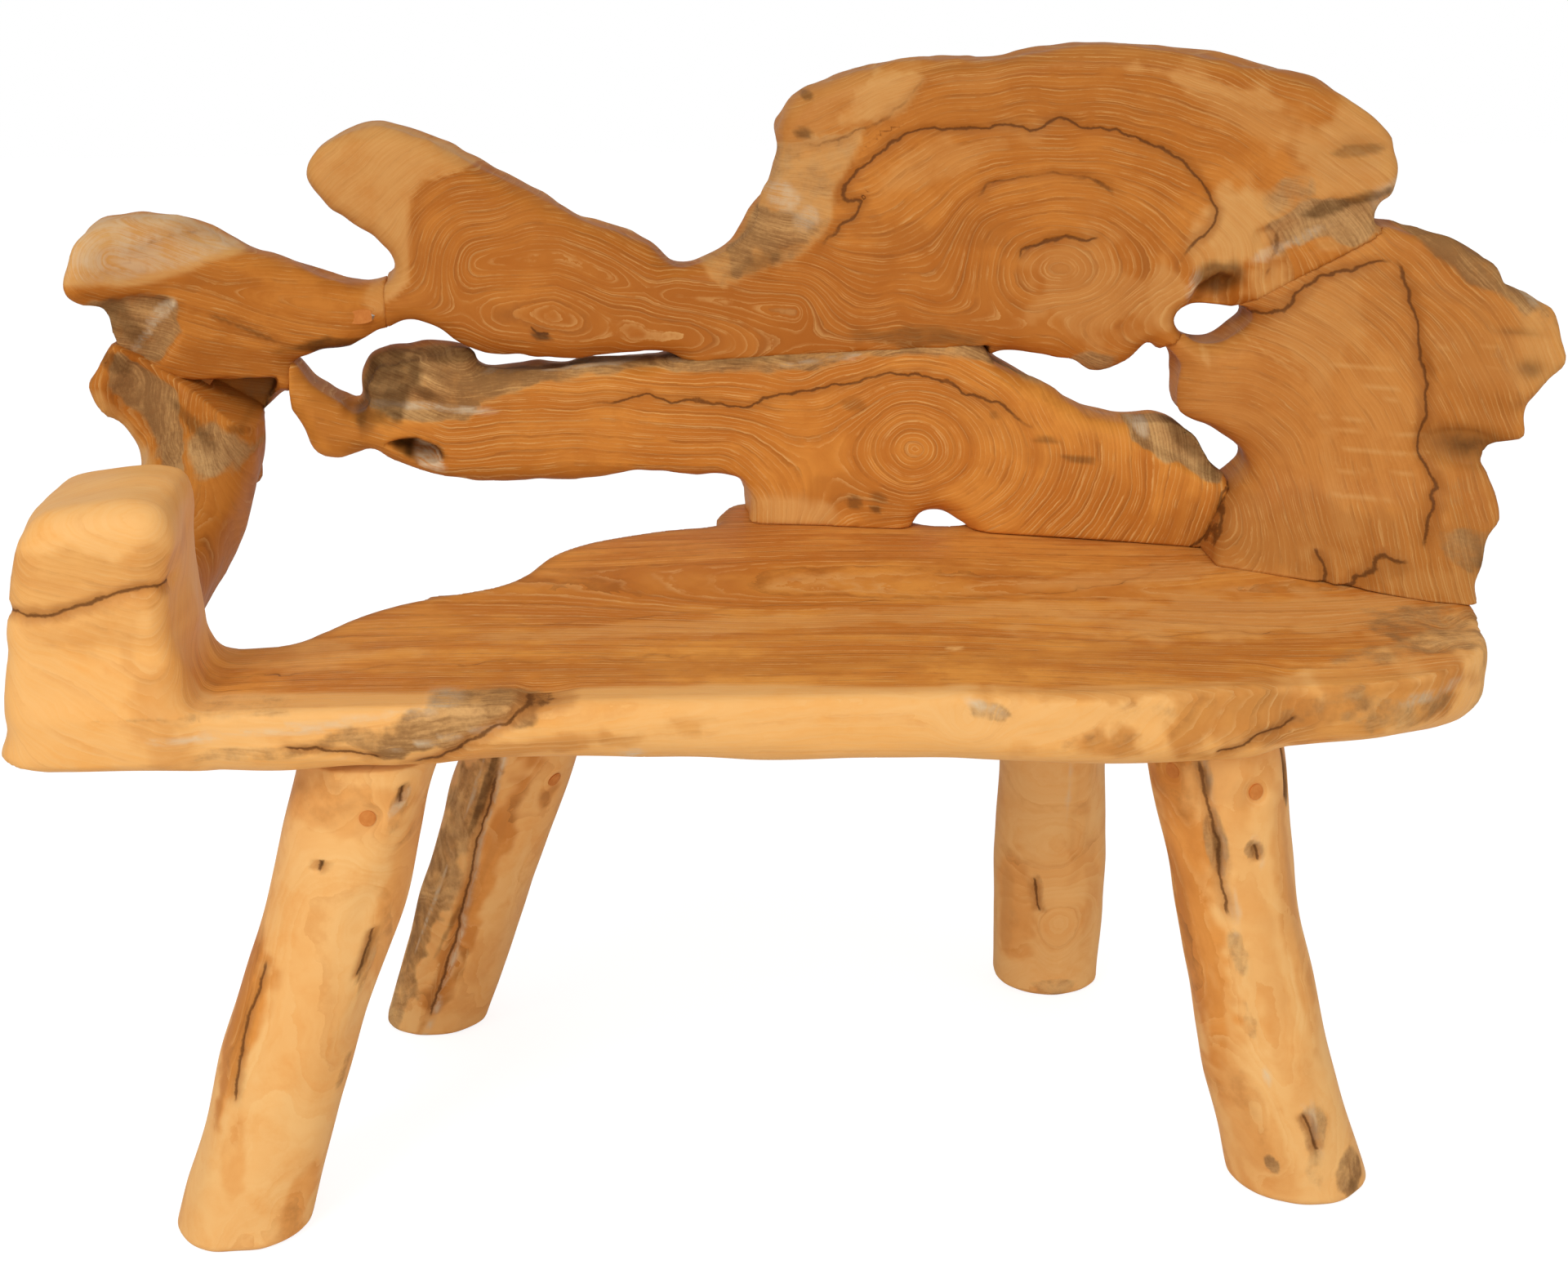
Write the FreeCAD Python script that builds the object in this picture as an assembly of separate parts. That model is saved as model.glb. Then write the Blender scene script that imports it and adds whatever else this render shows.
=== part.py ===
import FreeCAD, Part
import math
import os

os.makedirs("parts", exist_ok=True)

# Axes: x to the sitter's left along the bench, y to the back, z up from the floor.
# Whole size of the bench in millimetres.
bench_length = 1200.0
bench_depth = 550.0
bench_height = 850.0

# Seat log: half a trunk, thin along its front edge, with a deeper belly behind.
seat_height = 438.0
seat_thickness = 56.0
belly_depth = 64.0
seat_top_bevel = 6.0
seat_under_bevel = 16.0
belly_bevel = 20.0
arm_block_front_share = -0.469
arm_block_back_share = -0.222
arm_block_bevel = 10.0
arm_cove_radius = 16.0
arm_block_inner_x = -468.0

# Back of root slabs, bent round the sitter and leaning back a little.
back_thickness = 71.0
back_radius = 1600.0
wing_radius = 380.0
back_crown_x = -240.0
back_crown_y = 170.0
wing_start_x = -354.0
wing_end_angle = 176.0
back_lean_angle = 6.0
lean_axis_y = 100.0

# Root post between the arm block and the horn: height at which its neck meets its head.
post_neck_share = 0.6553

# Legs, shaved round in narrow flats, each cut off level at the floor and at its shoulder.
front_foot_radius = 52.0
rear_foot_radius = 49.0
leg_swell = 2.5
leg_flat_count = 24

# Loose tenons of the legs, with the six-sided screws and the plugs that pin them.
tenon_radius = 18.0
tenon_length = 84.0
tenon_flat_count = 12
screw_shank_radius = 2.5
screw_head_radius = 4.6
screw_head_height = 3.2
screw_head_flat_count = 6
screw_shank_flat_count = 8
screw_length = 46.0
plug_radius = 6.0
plug_depth = 9.0

# Flat wooden tongues let into both pieces at each glue seam: along the seam, through
# the slab's thickness, and across the seam. The neck between horn and rail has the least.
tongue_width = 40.0
tongue_thickness = 12.0
tongue_length = 60.0
small_tongue_width = 22.0
small_tongue_thickness = 8.0
small_tongue_length = 34.0
neck_tongue_width = 10.0
neck_tongue_length = 20.0

# Fits.
joint_clearance = 0.3
shortest_edge = 0.001
cutter_margin = 40.0

# Values that follow from the sizes above.
seat_bottom = seat_height - seat_thickness
belly_bottom = seat_bottom - belly_depth
lean_slope = math.tan(math.radians(back_lean_angle))
arm_block_front = arm_block_front_share * bench_depth
arm_block_back = arm_block_back_share * bench_depth
half_length = bench_length / 2
half_depth = bench_depth / 2
back_centre_y = back_crown_y - back_radius


# Outlines of the back, seen from the front: across from the left end in shares
# of the bench length, and up from the floor in shares of the height as drawn. The
# drawn seat height is the share at which they meet the seat.
drawn_seat_share = 0.5153
crest_shares = [
    (0.190, 0.764), (0.208, 0.767), (0.2125, 0.785), (0.200, 0.812), (0.170, 0.839),
    (0.154, 0.872), (0.167, 0.903), (0.203, 0.9215), (0.243, 0.905), (0.300, 0.863),
    (0.350, 0.826), (0.393, 0.804), (0.418, 0.779), (0.455, 0.793), (0.472, 0.822),
    (0.491, 0.880), (0.491, 0.918), (0.515, 0.953), (0.568, 0.978), (0.632, 0.983),
    (0.700, 1.001), (0.752, 0.999), (0.800, 0.988), (0.856, 0.968), (0.889, 0.936),
    (0.899, 0.892), (0.893, 0.845), (0.905, 0.810), (0.850, 0.740), (0.790, 0.700),
    (0.757, 0.710), (0.7465, 0.716), (0.733, 0.697), (0.711, 0.684), (0.696, 0.695),
    (0.672, 0.699), (0.645, 0.699), (0.620, 0.675), (0.520, 0.665), (0.430, 0.665),
    (0.415, 0.690), (0.361, 0.692), (0.334, 0.687), (0.290, 0.693), (0.262, 0.702),
    (0.243, 0.716), (0.224, 0.726), (0.202, 0.718), (0.190, 0.716),
]
horn_shares = [
    (0.225, 0.767), (0.208, 0.766), (0.188, 0.762), (0.146, 0.783), (0.105, 0.807),
    (0.066, 0.838), (0.034, 0.846), (0.012, 0.834), (0.002, 0.805), (0.001, 0.785),
    (0.009, 0.771), (0.020, 0.762), (0.025, 0.748), (0.029, 0.728), (0.034, 0.690),
    (0.080, 0.640), (0.105, 0.628), (0.118, 0.643), (0.127, 0.655), (0.138, 0.656),
    (0.155, 0.650), (0.152, 0.670),
    (0.140, 0.692), (0.158, 0.698), (0.180, 0.701), (0.200, 0.717), (0.225, 0.722),
]
# Head of the post, the part that lies in the bent back.
post_head_shares = [
    (0.036, 0.738), (0.014, 0.704), (0.0125, 0.686), (0.026, 0.655), (0.033, 0.635),
    (0.112, 0.635), (0.118, 0.655), (0.110, 0.690), (0.075, 0.740),
]
rail_shares = [
    (0.120, 0.692), (0.138, 0.690), (0.150, 0.667), (0.168, 0.648), (0.181, 0.643),
    (0.184, 0.670), (0.195, 0.691), (0.232, 0.697), (0.262, 0.691), (0.274, 0.670),
    (0.327, 0.670), (0.352, 0.678), (0.408, 0.6815), (0.435, 0.715), (0.520, 0.725),
    (0.610, 0.730), (0.635, 0.705), (0.648, 0.683), (0.674, 0.666), (0.693, 0.651),
    (0.715, 0.637), (0.740, 0.6325), (0.763, 0.636), (0.779, 0.624), (0.788, 0.604),
    (0.800, 0.585), (0.813, 0.578), (0.818, 0.555), (0.800, 0.490), (0.700, 0.465),
    (0.560, 0.465), (0.462, 0.470), (0.466, 0.520), (0.463, 0.546), (0.448, 0.561),
    (0.390, 0.564), (0.331, 0.562), (0.271, 0.563), (0.235, 0.568), (0.207, 0.585),
    (0.190, 0.599), (0.168, 0.593), (0.153, 0.600), (0.143, 0.628), (0.134, 0.648),
    (0.120, 0.655),
]
disc_shares = [
    (0.880, 0.870), (0.8915, 0.844), (0.910, 0.840), (0.932, 0.837), (0.952, 0.819),
    (0.964, 0.793), (0.976, 0.784), (0.992, 0.779), (0.9985, 0.757), (1.001, 0.735),
    (0.990, 0.712), (0.982, 0.690), (0.983, 0.656), (0.974, 0.640), (0.967, 0.622),
    (0.971, 0.600), (0.970, 0.578), (0.957, 0.550), (0.944, 0.520), (0.932, 0.480),
    (0.880, 0.465), (0.760, 0.465), (0.745, 0.490), (0.775, 0.560), (0.803, 0.578),
    (0.818, 0.597), (0.813, 0.617), (0.797, 0.632), (0.777, 0.643), (0.769, 0.656),
    (0.770, 0.680), (0.771, 0.697), (0.759, 0.715), (0.735, 0.725), (0.745, 0.745),
]
# Foot of the disc, swept forward over the seat like the flare of a root: plan of its sole
# and of its top, in shares of the bench length and depth, and its height in shares.
flare_sole_shares = [
    (0.735, 0.620), (0.768, 0.545), (0.800, 0.500), (0.838, 0.440), (0.880, 0.350),
    (0.906, 0.300), (0.918, 0.310), (0.928, 0.400), (0.922, 0.520), (0.820, 0.640),
]
flare_top_shares = [
    (0.770, 0.650), (0.785, 0.640), (0.805, 0.620), (0.840, 0.580), (0.880, 0.530),
    (0.910, 0.495), (0.925, 0.485), (0.935, 0.490), (0.935, 0.540), (0.840, 0.640),
]
flare_top_share = 0.635
# The small hole low in the shoulder between crest and disc, and the little gap
# that the live edge of the rail leaves over the seat.
upper_hole_shares = [
    (0.765, 0.739), (0.769, 0.727), (0.780, 0.7175), (0.795, 0.7185), (0.807, 0.729),
    (0.816, 0.745), (0.808, 0.757), (0.787, 0.758), (0.770, 0.751),
]
seat_gap_shares = [
    (0.586, 0.500), (0.589, 0.526), (0.603, 0.536), (0.618, 0.529), (0.634, 0.500),
]

# Seams where the slabs are glued, as lines of the same front view.
crest_rail_seam_shares = ((0.410, 0.683), (0.640, 0.708))
crest_disc_seam_shares = ((0.730, 0.6882), (0.910, 0.8535))
rail_disc_seam_shares = ((0.805, 0.590), (0.770, 0.465))
horn_crest_seam_shares = ((0.2065, 0.640), (0.2065, 0.776))
horn_rail_seam_shares = ((0.1375, 0.620), (0.1375, 0.6915))
post_horn_seam_shares = ((0.005, 0.751), (0.130, 0.625))
# Reach of the blocks that cut the slabs off along a seam.
seam_cut_share = 0.15
horn_rail_cut_share = 0.05
# Tongues along each seam, in shares of the seam's length.
crest_rail_tongue_shares = (0.15, 0.5, 0.85)
crest_disc_tongue_shares = (0.52, 0.78)
rail_disc_tongue_shares = (0.25,)
horn_crest_tongue_shares = (0.80,)
horn_rail_tongue_shares = (0.68,)
post_horn_tongue_shares = (0.515,)

# Plan of the seat log: across from the left end in shares of the bench length,
# back from the front in shares of the bench depth.
seat_plan_shares = [
    (0.010, 0.145), (0.018, 0.050), (0.045, 0.026), (0.150, 0.022), (0.300, 0.025),
    (0.450, 0.025), (0.550, 0.020), (0.630, 0.001), (0.700, 0.006), (0.770, 0.020),
    (0.835, 0.030), (0.880, 0.070), (0.912, 0.140), (0.926, 0.230), (0.935, 0.320),
    (0.938, 0.440), (0.922, 0.575), (0.870, 0.690), (0.785, 0.785), (0.668, 0.864),
    (0.640, 0.800), (0.612, 0.772), (0.588, 0.800), (0.565, 0.900), (0.470, 0.930),
    (0.445, 0.860), (0.440, 0.800), (0.400, 0.776),
    (0.350, 0.722), (0.320, 0.652), (0.303, 0.568), (0.282, 0.510), (0.228, 0.455),
    (0.198, 0.398), (0.177, 0.335), (0.155, 0.285), (0.100, 0.278), (0.030, 0.278),
]
belly_plan_shares = [
    (0.225, 0.390), (0.232, 0.610), (0.280, 0.660), (0.400, 0.740), (0.560, 0.750),
    (0.690, 0.735), (0.755, 0.640), (0.755, 0.390), (0.690, 0.335), (0.320, 0.335),
]
# Arm block seen from the front, in shares of the bench length and height.
arm_block_shares = [
    (0.012, 0.450), (0.012, 0.520), (0.020, 0.600), (0.028, 0.652), (0.040, 0.678),
    (0.065, 0.686), (0.100, 0.688), (0.113, 0.670), (0.111, 0.600), (0.110, 0.450),
]

# Tongues down into the seat log, across in shares of the bench length.
rail_foot_shares = (0.500, 0.560, 0.680, 0.735)
disc_foot_shares = (0.838, 0.892)
# Screw of the horn's tongue: its plug in the front view, its direction and length.
horn_screw_shares = (0.1900, 0.735)
horn_screw_angle = 35.0
horn_screw_length = 60.0

# Rings of the post, from the arm block's back face to the horn: x and y from the centre
# of the bench and z from the floor in shares of its sides, the turn from level in
# degrees, the width in shares of the length and the thickness in shares of the height.
post_rings = (
    (-0.4340, arm_block_back_share, 0.5235, 0.0, 0.064, 0.108),
    (-0.4363, -0.0700, 0.5320, 8.0, 0.052, 0.110),
    (-0.4265, 0.1000, 0.5640, 32.0, 0.076, 0.112),
    (-0.4208, 0.2350, 0.6080, 62.0, 0.074, 0.112),
    (-0.4275, 0.2900, post_neck_share, 90.0, 0.091, 0.108),
)
ring_corner_count = 12
ring_squareness = 0.62

# Middle line of each leg from floor to shoulder: x and y in shares of bench length
# and depth from the centre of the bench, with the share of the leg height.
leg_line_shares = {
    "front_left": ((-0.3825, -0.4050, 0.0), (-0.3520, -0.3900, 0.32),
                   (-0.3115, -0.3660, 0.68), (-0.2830, -0.3450, 1.0)),
    "front_right": ((0.3145, -0.4050, 0.0), (0.2855, -0.3900, 0.31),
                    (0.2615, -0.3700, 0.62), (0.2420, -0.3450, 1.0)),
    "rear_left": ((-0.2780, 0.1620, 0.0), (-0.2510, 0.1050, 0.33),
                  (-0.2210, 0.0400, 0.68), (-0.1945, -0.0200, 1.0)),
    "rear_right": ((0.1980, 0.2200, 0.0), (0.1930, 0.1780, 0.33),
                   (0.1880, 0.1300, 0.68), (0.1840, 0.0850, 1.0)),
}
leg_shoulders = {"front_left": seat_bottom, "front_right": seat_bottom,
                 "rear_left": belly_bottom, "rear_right": belly_bottom}
leg_foot_radii = {"front_left": front_foot_radius, "front_right": front_foot_radius,
                  "rear_left": rear_foot_radius, "rear_right": rear_foot_radius}
# Pinning screws: leg, direction in degrees from the x axis, depth under the shoulder in tenon radii.
leg_pins = (("front_left", -80.0, 2.0), ("front_right", -144.0, 1.5), ("front_right", -71.0, 2.1),
            ("rear_left", -48.0, 2.0), ("rear_right", -138.0, 2.0))


def vector(x, y, z):
    return FreeCAD.Vector(x, y, z)


def level_of(share):
    # Height of a share of the drawn outlines, whose seat and top are the bench's own.
    above_seat = (share - drawn_seat_share) / (1 - drawn_seat_share)
    return seat_height + above_seat * (bench_height - seat_height)


def front_points(shares):
    # Outline points on the plane in front of the bench.
    return [vector(across * bench_length - half_length, -bench_depth, level_of(up))
            for across, up in shares]


def plan_points(shares, level):
    # Outline points on a level plane.
    return [vector(across * bench_length - half_length, back * bench_depth - half_depth, level)
            for across, back in shares]


def flowing_wire(points):
    # Closed line of arcs, each tangent to both edges at a corner of the polygon, and of
    # straight lines where a corner is straight.
    count = len(points)
    corners = []
    for index in range(count):
        corner = points[index]
        to_last = points[index - 1] - corner
        to_next = points[(index + 1) % count] - corner
        reach = min(to_last.Length, to_next.Length) / 2
        to_last.normalize()
        to_next.normalize()
        half_angle = to_last.getAngle(to_next) / 2
        middle = to_last + to_next
        middle.normalize()
        inset = reach / math.cos(half_angle) - reach * math.tan(half_angle)
        corners.append((corner + to_last * reach, corner + middle * inset, corner + to_next * reach))
    edges = []
    for index in range(count):
        start, middle, end = corners[index]
        if (start + end - middle * 2).Length > shortest_edge:
            edges.append(Part.Arc(start, middle, end).toShape())
        else:
            edges.append(Part.LineSegment(start, end).toShape())
        next_start = corners[(index + 1) % count][0]
        if (next_start - end).Length > shortest_edge:
            edges.append(Part.LineSegment(end, next_start).toShape())
    return Part.Wire(edges)


def straight_prism(points, direction):
    # Straight-sided block over a polygon.
    return Part.Face(Part.makePolygon(points + [points[0]])).extrude(direction)


def through_depth():
    return vector(0, 3 * bench_depth, 0)


def arc_between(centre, radius, first, last):
    # Arc on a level plane between two directions.
    points = [vector(centre.x + radius * math.cos(angle), centre.y + radius * math.sin(angle), 0)
              for angle in (first, (first + last) / 2, last)]
    return Part.Arc(points[0], points[1], points[2])


def bent_plate():
    # Plate that the slabs of the back are cut from: a wide arc, a tighter one for the horn.
    centre = vector(back_crown_x, back_centre_y, 0)
    turn = math.acos((wing_start_x - back_crown_x) / back_radius)
    right_end = math.acos((half_length + cutter_margin - back_crown_x) / back_radius)
    inward = vector(math.cos(turn), math.sin(turn), 0)
    wing_centre = centre + inward * (back_radius - wing_radius)
    left_end = math.radians(wing_end_angle)
    outer_radius = back_radius + back_thickness
    outer_wing = wing_radius + back_thickness
    arcs = [arc_between(wing_centre, wing_radius, left_end, turn),
            arc_between(centre, back_radius, turn, right_end),
            arc_between(centre, outer_radius, right_end, turn),
            arc_between(wing_centre, outer_wing, turn, left_end)]
    edges = [arcs[0].toShape(), arcs[1].toShape()]
    edges.append(Part.LineSegment(arcs[1].EndPoint, arcs[2].StartPoint).toShape())
    edges.extend([arcs[2].toShape(), arcs[3].toShape()])
    edges.append(Part.LineSegment(arcs[3].EndPoint, arcs[0].StartPoint).toShape())
    plate = Part.Face(Part.Wire(edges)).extrude(vector(0, 0, 2 * bench_height))
    plate.translate(vector(0, 0, -bench_height / 2))
    plate.rotate(vector(0, lean_axis_y, seat_height), vector(1, 0, 0), -back_lean_angle)
    return plate


def flowing_block(shares):
    # Block through the whole depth over a flowing outline of the front view.
    return Part.Face(flowing_wire(front_points(shares))).extrude(through_depth())


def back_slab(shares):
    # One slab of the back: its outline cut from the bent plate.
    return flowing_block(shares).common(bent_plate()).Solids[0]


def seam_cutter(seam, across, up):
    # Block on one side of a seam: the seam line of the front view, carried across and up.
    first, last = front_points(seam)
    carry = vector(across * bench_length, 0, up * bench_height)
    return straight_prism([first, last, last + carry, first + carry], through_depth())


def pin(start, end, radius):
    # Round pin between two points.
    along = end - start
    return Part.makeCylinder(radius, along.Length, start, along)


def flat_ring(centre, radius, flats):
    # Closed level line with equal straight sides.
    turns = [2 * math.pi * step / flats for step in range(flats)]
    points = [centre + vector(math.cos(turn), math.sin(turn), 0) * radius for turn in turns]
    return Part.makePolygon(points + points[:1])


def flat_sided_pin(start, end, radius, flats):
    # Pin with flat sides between two points.
    along = end - start
    body = Part.Face(flat_ring(vector(0, 0, 0), radius, flats)).extrude(vector(0, 0, along.Length))
    body.Placement = FreeCAD.Placement(start, FreeCAD.Rotation(vector(0, 0, 1), along))
    return body


def hidden_screw(spot, inward, length, host):
    # Screw under a wooden plug: the plug, trimmed to the host's skin, the screw, and
    # the stepped bore that they sit in.
    plug_floor = spot + inward * plug_depth
    beyond = spot - inward * plug_depth
    neck = plug_floor + inward * screw_head_height
    tip = neck + inward * length
    plug = pin(plug_floor, beyond, plug_radius).common(host)
    head = flat_sided_pin(plug_floor, neck, screw_head_radius, screw_head_flat_count)
    screw = head.fuse(flat_sided_pin(neck, tip, screw_shank_radius, screw_shank_flat_count))
    wide_bore = pin(neck, beyond, plug_radius + joint_clearance)
    bore_end = tip + inward * joint_clearance
    narrow_radius = screw_shank_radius + joint_clearance
    narrow_bore = flat_sided_pin(neck, bore_end, narrow_radius, screw_shank_flat_count)
    return plug, screw, wide_bore.fuse(narrow_bore)


def back_front_y(x):
    # Front of the back at seat height, for a given x.
    if x >= wing_start_x:
        return back_centre_y + math.sqrt(back_radius ** 2 - (x - back_crown_x) ** 2)
    turn = math.acos((wing_start_x - back_crown_x) / back_radius)
    inward = vector(math.cos(turn), math.sin(turn), 0)
    centre = vector(back_crown_x, back_centre_y, 0) + inward * (back_radius - wing_radius)
    return centre.y + math.sqrt(wing_radius ** 2 - (x - centre.x) ** 2)


def mid_back(across, up):
    # Point in the middle of the back's thickness.
    x = across * bench_length - half_length
    z = level_of(up)
    return vector(x, back_front_y(x) + lean_slope * (z - seat_height) + back_thickness / 2, z)


def upright_tenon(middle):
    # Upright tenon with its socket, which leaves it a clearance all round.
    start = middle - vector(0, 0, tenon_length / 2)
    end = middle + vector(0, 0, tenon_length / 2)
    slack = vector(0, 0, joint_clearance)
    tenon = flat_sided_pin(start, end, tenon_radius, tenon_flat_count)
    socket = flat_sided_pin(start - slack, end + slack, tenon_radius + joint_clearance, tenon_flat_count)
    return tenon, socket


def flat_block(middle, along, across, sides):
    # Block about a point, its sides along the seam, through the slab and across the seam.
    width, thickness, length = sides
    block = Part.makeBox(width, thickness, length, vector(-width / 2, -thickness / 2, -length / 2))
    through = across.cross(along)
    turn = FreeCAD.Rotation(along, through, across, "ZXY")
    block.Placement = FreeCAD.Placement(middle, turn)
    return block


def tongue_at(middle, along, across, sides):
    # Tongue with its mortise, which leaves it a clearance all round.
    loose_sides = [side + 2 * joint_clearance for side in sides]
    return flat_block(middle, along, across, sides), flat_block(middle, along, across, loose_sides)


def seam_tongues(seam, places, sides):
    # Tongues square to a seam line of the front view, at shares along it.
    (across_first, up_first), (across_last, up_last) = seam
    first, last = front_points(seam)
    run = (last - first).normalize()
    square = vector(-run.z, 0, run.x)
    tongues = []
    for place in places:
        across = across_first + (across_last - across_first) * place
        up = up_first + (up_last - up_first) * place
        tongues.append(tongue_at(mid_back(across, up), run, square, sides))
    return tongues


def squared(value):
    # Cosine or sine of a round ring pushed out towards a square one.
    return math.copysign(abs(value) ** ring_squareness, value)


def write(name, solids):
    shape = solids[0] if len(solids) == 1 else Part.makeCompound(solids)
    shape.exportStep("parts/" + name + ".step")


def leg_point(name, share):
    # Point of a leg's middle line, the line read as straight between its given points.
    line = leg_line_shares[name]
    for low, high in zip(line, line[1:]):
        if share <= high[2]:
            break
    part = (share - low[2]) / (high[2] - low[2])
    return vector((low[0] + (high[0] - low[0]) * part) * bench_length,
                  (low[1] + (high[1] - low[1]) * part) * bench_depth, share * leg_shoulders[name])


def leg_solid(name):
    # Crooked leg through level rings, its ends a little fuller than the waist.
    rings = []
    for x, y, share in leg_line_shares[name]:
        radius = leg_foot_radii[name] - leg_swell * math.sin(math.pi * share)
        centre = vector(x * bench_length, y * bench_depth, share * leg_shoulders[name])
        rings.append(flat_ring(centre, radius, leg_flat_count))
    return Part.makeLoft(rings, True, True)


def level_rims(solid, level):
    # Edges that lie flat at one height.
    return [edge for edge in solid.Edges
            if max(abs(edge.BoundBox.ZMin - level), abs(edge.BoundBox.ZMax - level)) < joint_clearance]


# Seat log with its belly and the arm block.
log_plan = Part.Face(flowing_wire(plan_points(seat_plan_shares, seat_bottom)))
log = log_plan.extrude(vector(0, 0, seat_thickness))
log = log.makeChamfer(seat_top_bevel, level_rims(log, seat_height))
log = log.makeChamfer(seat_under_bevel, level_rims(log, seat_bottom))
belly_plan = Part.Face(flowing_wire(plan_points(belly_plan_shares, belly_bottom)))
belly = belly_plan.extrude(vector(0, 0, belly_depth + seat_thickness / 2))
belly = belly.makeChamfer(belly_bevel, level_rims(belly, belly_bottom))
block_points = [vector(point.x, arm_block_front, point.z) for point in front_points(arm_block_shares)]
block = Part.Face(flowing_wire(block_points)).extrude(vector(0, arm_block_back - arm_block_front, 0))
block_rims = [edge for edge in block.Edges if edge.BoundBox.YLength < joint_clearance]
block = block.makeChamfer(arm_block_bevel, block_rims)
seat_log = log.fuse(belly).fuse(block)
cove_run = arm_block_back - arm_block_front - 2 * arm_block_bevel
cove_start = vector(arm_block_inner_x, arm_block_front + arm_block_bevel, seat_height)
cove_axis = cove_start + vector(arm_cove_radius, 0, arm_cove_radius)
cove_low = cove_start - vector(1, 0, 1) * arm_cove_radius
cove = Part.makeBox(2 * arm_cove_radius, cove_run, 2 * arm_cove_radius, cove_low)
cove = cove.cut(Part.makeCylinder(arm_cove_radius, cove_run, cove_axis, vector(0, 1, 0)))
seat_log = seat_log.fuse(cove)

# Slabs of the back, trimmed to their seams and to the seat.
post_neck_height = level_of(post_neck_share)
under_seat = Part.makeBox(3 * bench_length, 3 * bench_depth, seat_height,
                          vector(-1.5 * bench_length, -1.5 * bench_depth, 0))
under_post_head = Part.makeBox(bench_length, 3 * bench_depth, post_neck_height,
                               vector(-bench_length, -1.5 * bench_depth, 0))
upper_hole = flowing_block(upper_hole_shares)
seat_gap = flowing_block(seat_gap_shares)
crest = back_slab(crest_shares)
crest = crest.cut(seam_cutter(crest_rail_seam_shares, 0, -seam_cut_share))
crest = crest.cut(seam_cutter(crest_disc_seam_shares, seam_cut_share, -seam_cut_share))
crest = crest.cut(seam_cutter(horn_crest_seam_shares, -seam_cut_share, 0)).cut(upper_hole)
horn = back_slab(horn_shares)
horn = horn.cut(seam_cutter(horn_crest_seam_shares, seam_cut_share, 0))
horn = horn.cut(seam_cutter(horn_rail_seam_shares, horn_rail_cut_share, 0))
horn = horn.cut(seam_cutter(post_horn_seam_shares, -seam_cut_share, -seam_cut_share))
rail = back_slab(rail_shares)
rail = rail.cut(seam_cutter(crest_rail_seam_shares, 0, seam_cut_share))
rail = rail.cut(seam_cutter(rail_disc_seam_shares, seam_cut_share, 0))
rail = rail.cut(seam_cutter(horn_rail_seam_shares, -seam_cut_share, 0)).cut(under_seat).cut(seat_gap)
disc = back_slab(disc_shares)
disc = disc.cut(seam_cutter(crest_disc_seam_shares, -seam_cut_share, seam_cut_share))
disc = disc.cut(seam_cutter(rail_disc_seam_shares, -seam_cut_share, 0)).cut(upper_hole).cut(under_seat)
flare_sole = Part.makePolygon(plan_points(flare_sole_shares + flare_sole_shares[:1], seat_height))
flare_rim = plan_points(flare_top_shares + flare_top_shares[:1], level_of(flare_top_share))
flare_top = Part.makePolygon(flare_rim)
flare = Part.makeLoft([flare_sole, flare_top], True, True)
disc = disc.fuse(flare.cut(seam_cutter(rail_disc_seam_shares, -seam_cut_share, 0)))

# Root post: a bent root whose rings turn from the block's back face up to its head, which
# is cut off aslant under the horn.
rings = []
for x, y, z, turn, width, thickness in post_rings:
    along = vector(0, math.cos(math.radians(turn)), math.sin(math.radians(turn)))
    rise = vector(0, -along.z, along.y)
    centre = vector(x * bench_length, y * bench_depth, level_of(z))
    corner_points = []
    for step in range(ring_corner_count):
        angle = 2 * math.pi * step / ring_corner_count
        side = squared(math.cos(angle)) * width * bench_length / 2
        lift = squared(math.sin(angle)) * thickness * bench_height / 2
        corner_points.append(centre + vector(side, 0, 0) + rise * lift)
    rings.append(Part.makePolygon(corner_points + [corner_points[0]]))
post_head = back_slab(post_head_shares).cut(under_post_head)
post = Part.makeLoft(rings, True, True).fuse(post_head)
post = post.cut(seam_cutter(post_horn_seam_shares, seam_cut_share, seam_cut_share))

# Legs, each with a socket for its loose tenon, and the pins that hold the tenons.
legs = {name: leg_solid(name) for name in leg_line_shares}
tenons = {}
for name in leg_line_shares:
    tenon, socket = upright_tenon(leg_point(name, 1.0))
    tenons[name] = tenon
    legs[name] = legs[name].cut(socket)
    seat_log = seat_log.cut(socket)
leg_screws = []
leg_plugs = []
for name, direction, depth in leg_pins:
    whole_leg = leg_solid(name)
    centre = leg_point(name, 1 - depth * tenon_radius / leg_shoulders[name])
    inward = vector(-math.cos(math.radians(direction)), -math.sin(math.radians(direction)), 0)
    plug, screw, bore = hidden_screw(centre - inward * leg_foot_radii[name], inward, screw_length, whole_leg)
    leg_plugs.append(plug)
    leg_screws.append(screw)
    legs[name] = legs[name].cut(bore)
    tenons[name] = tenons[name].cut(bore)

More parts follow.
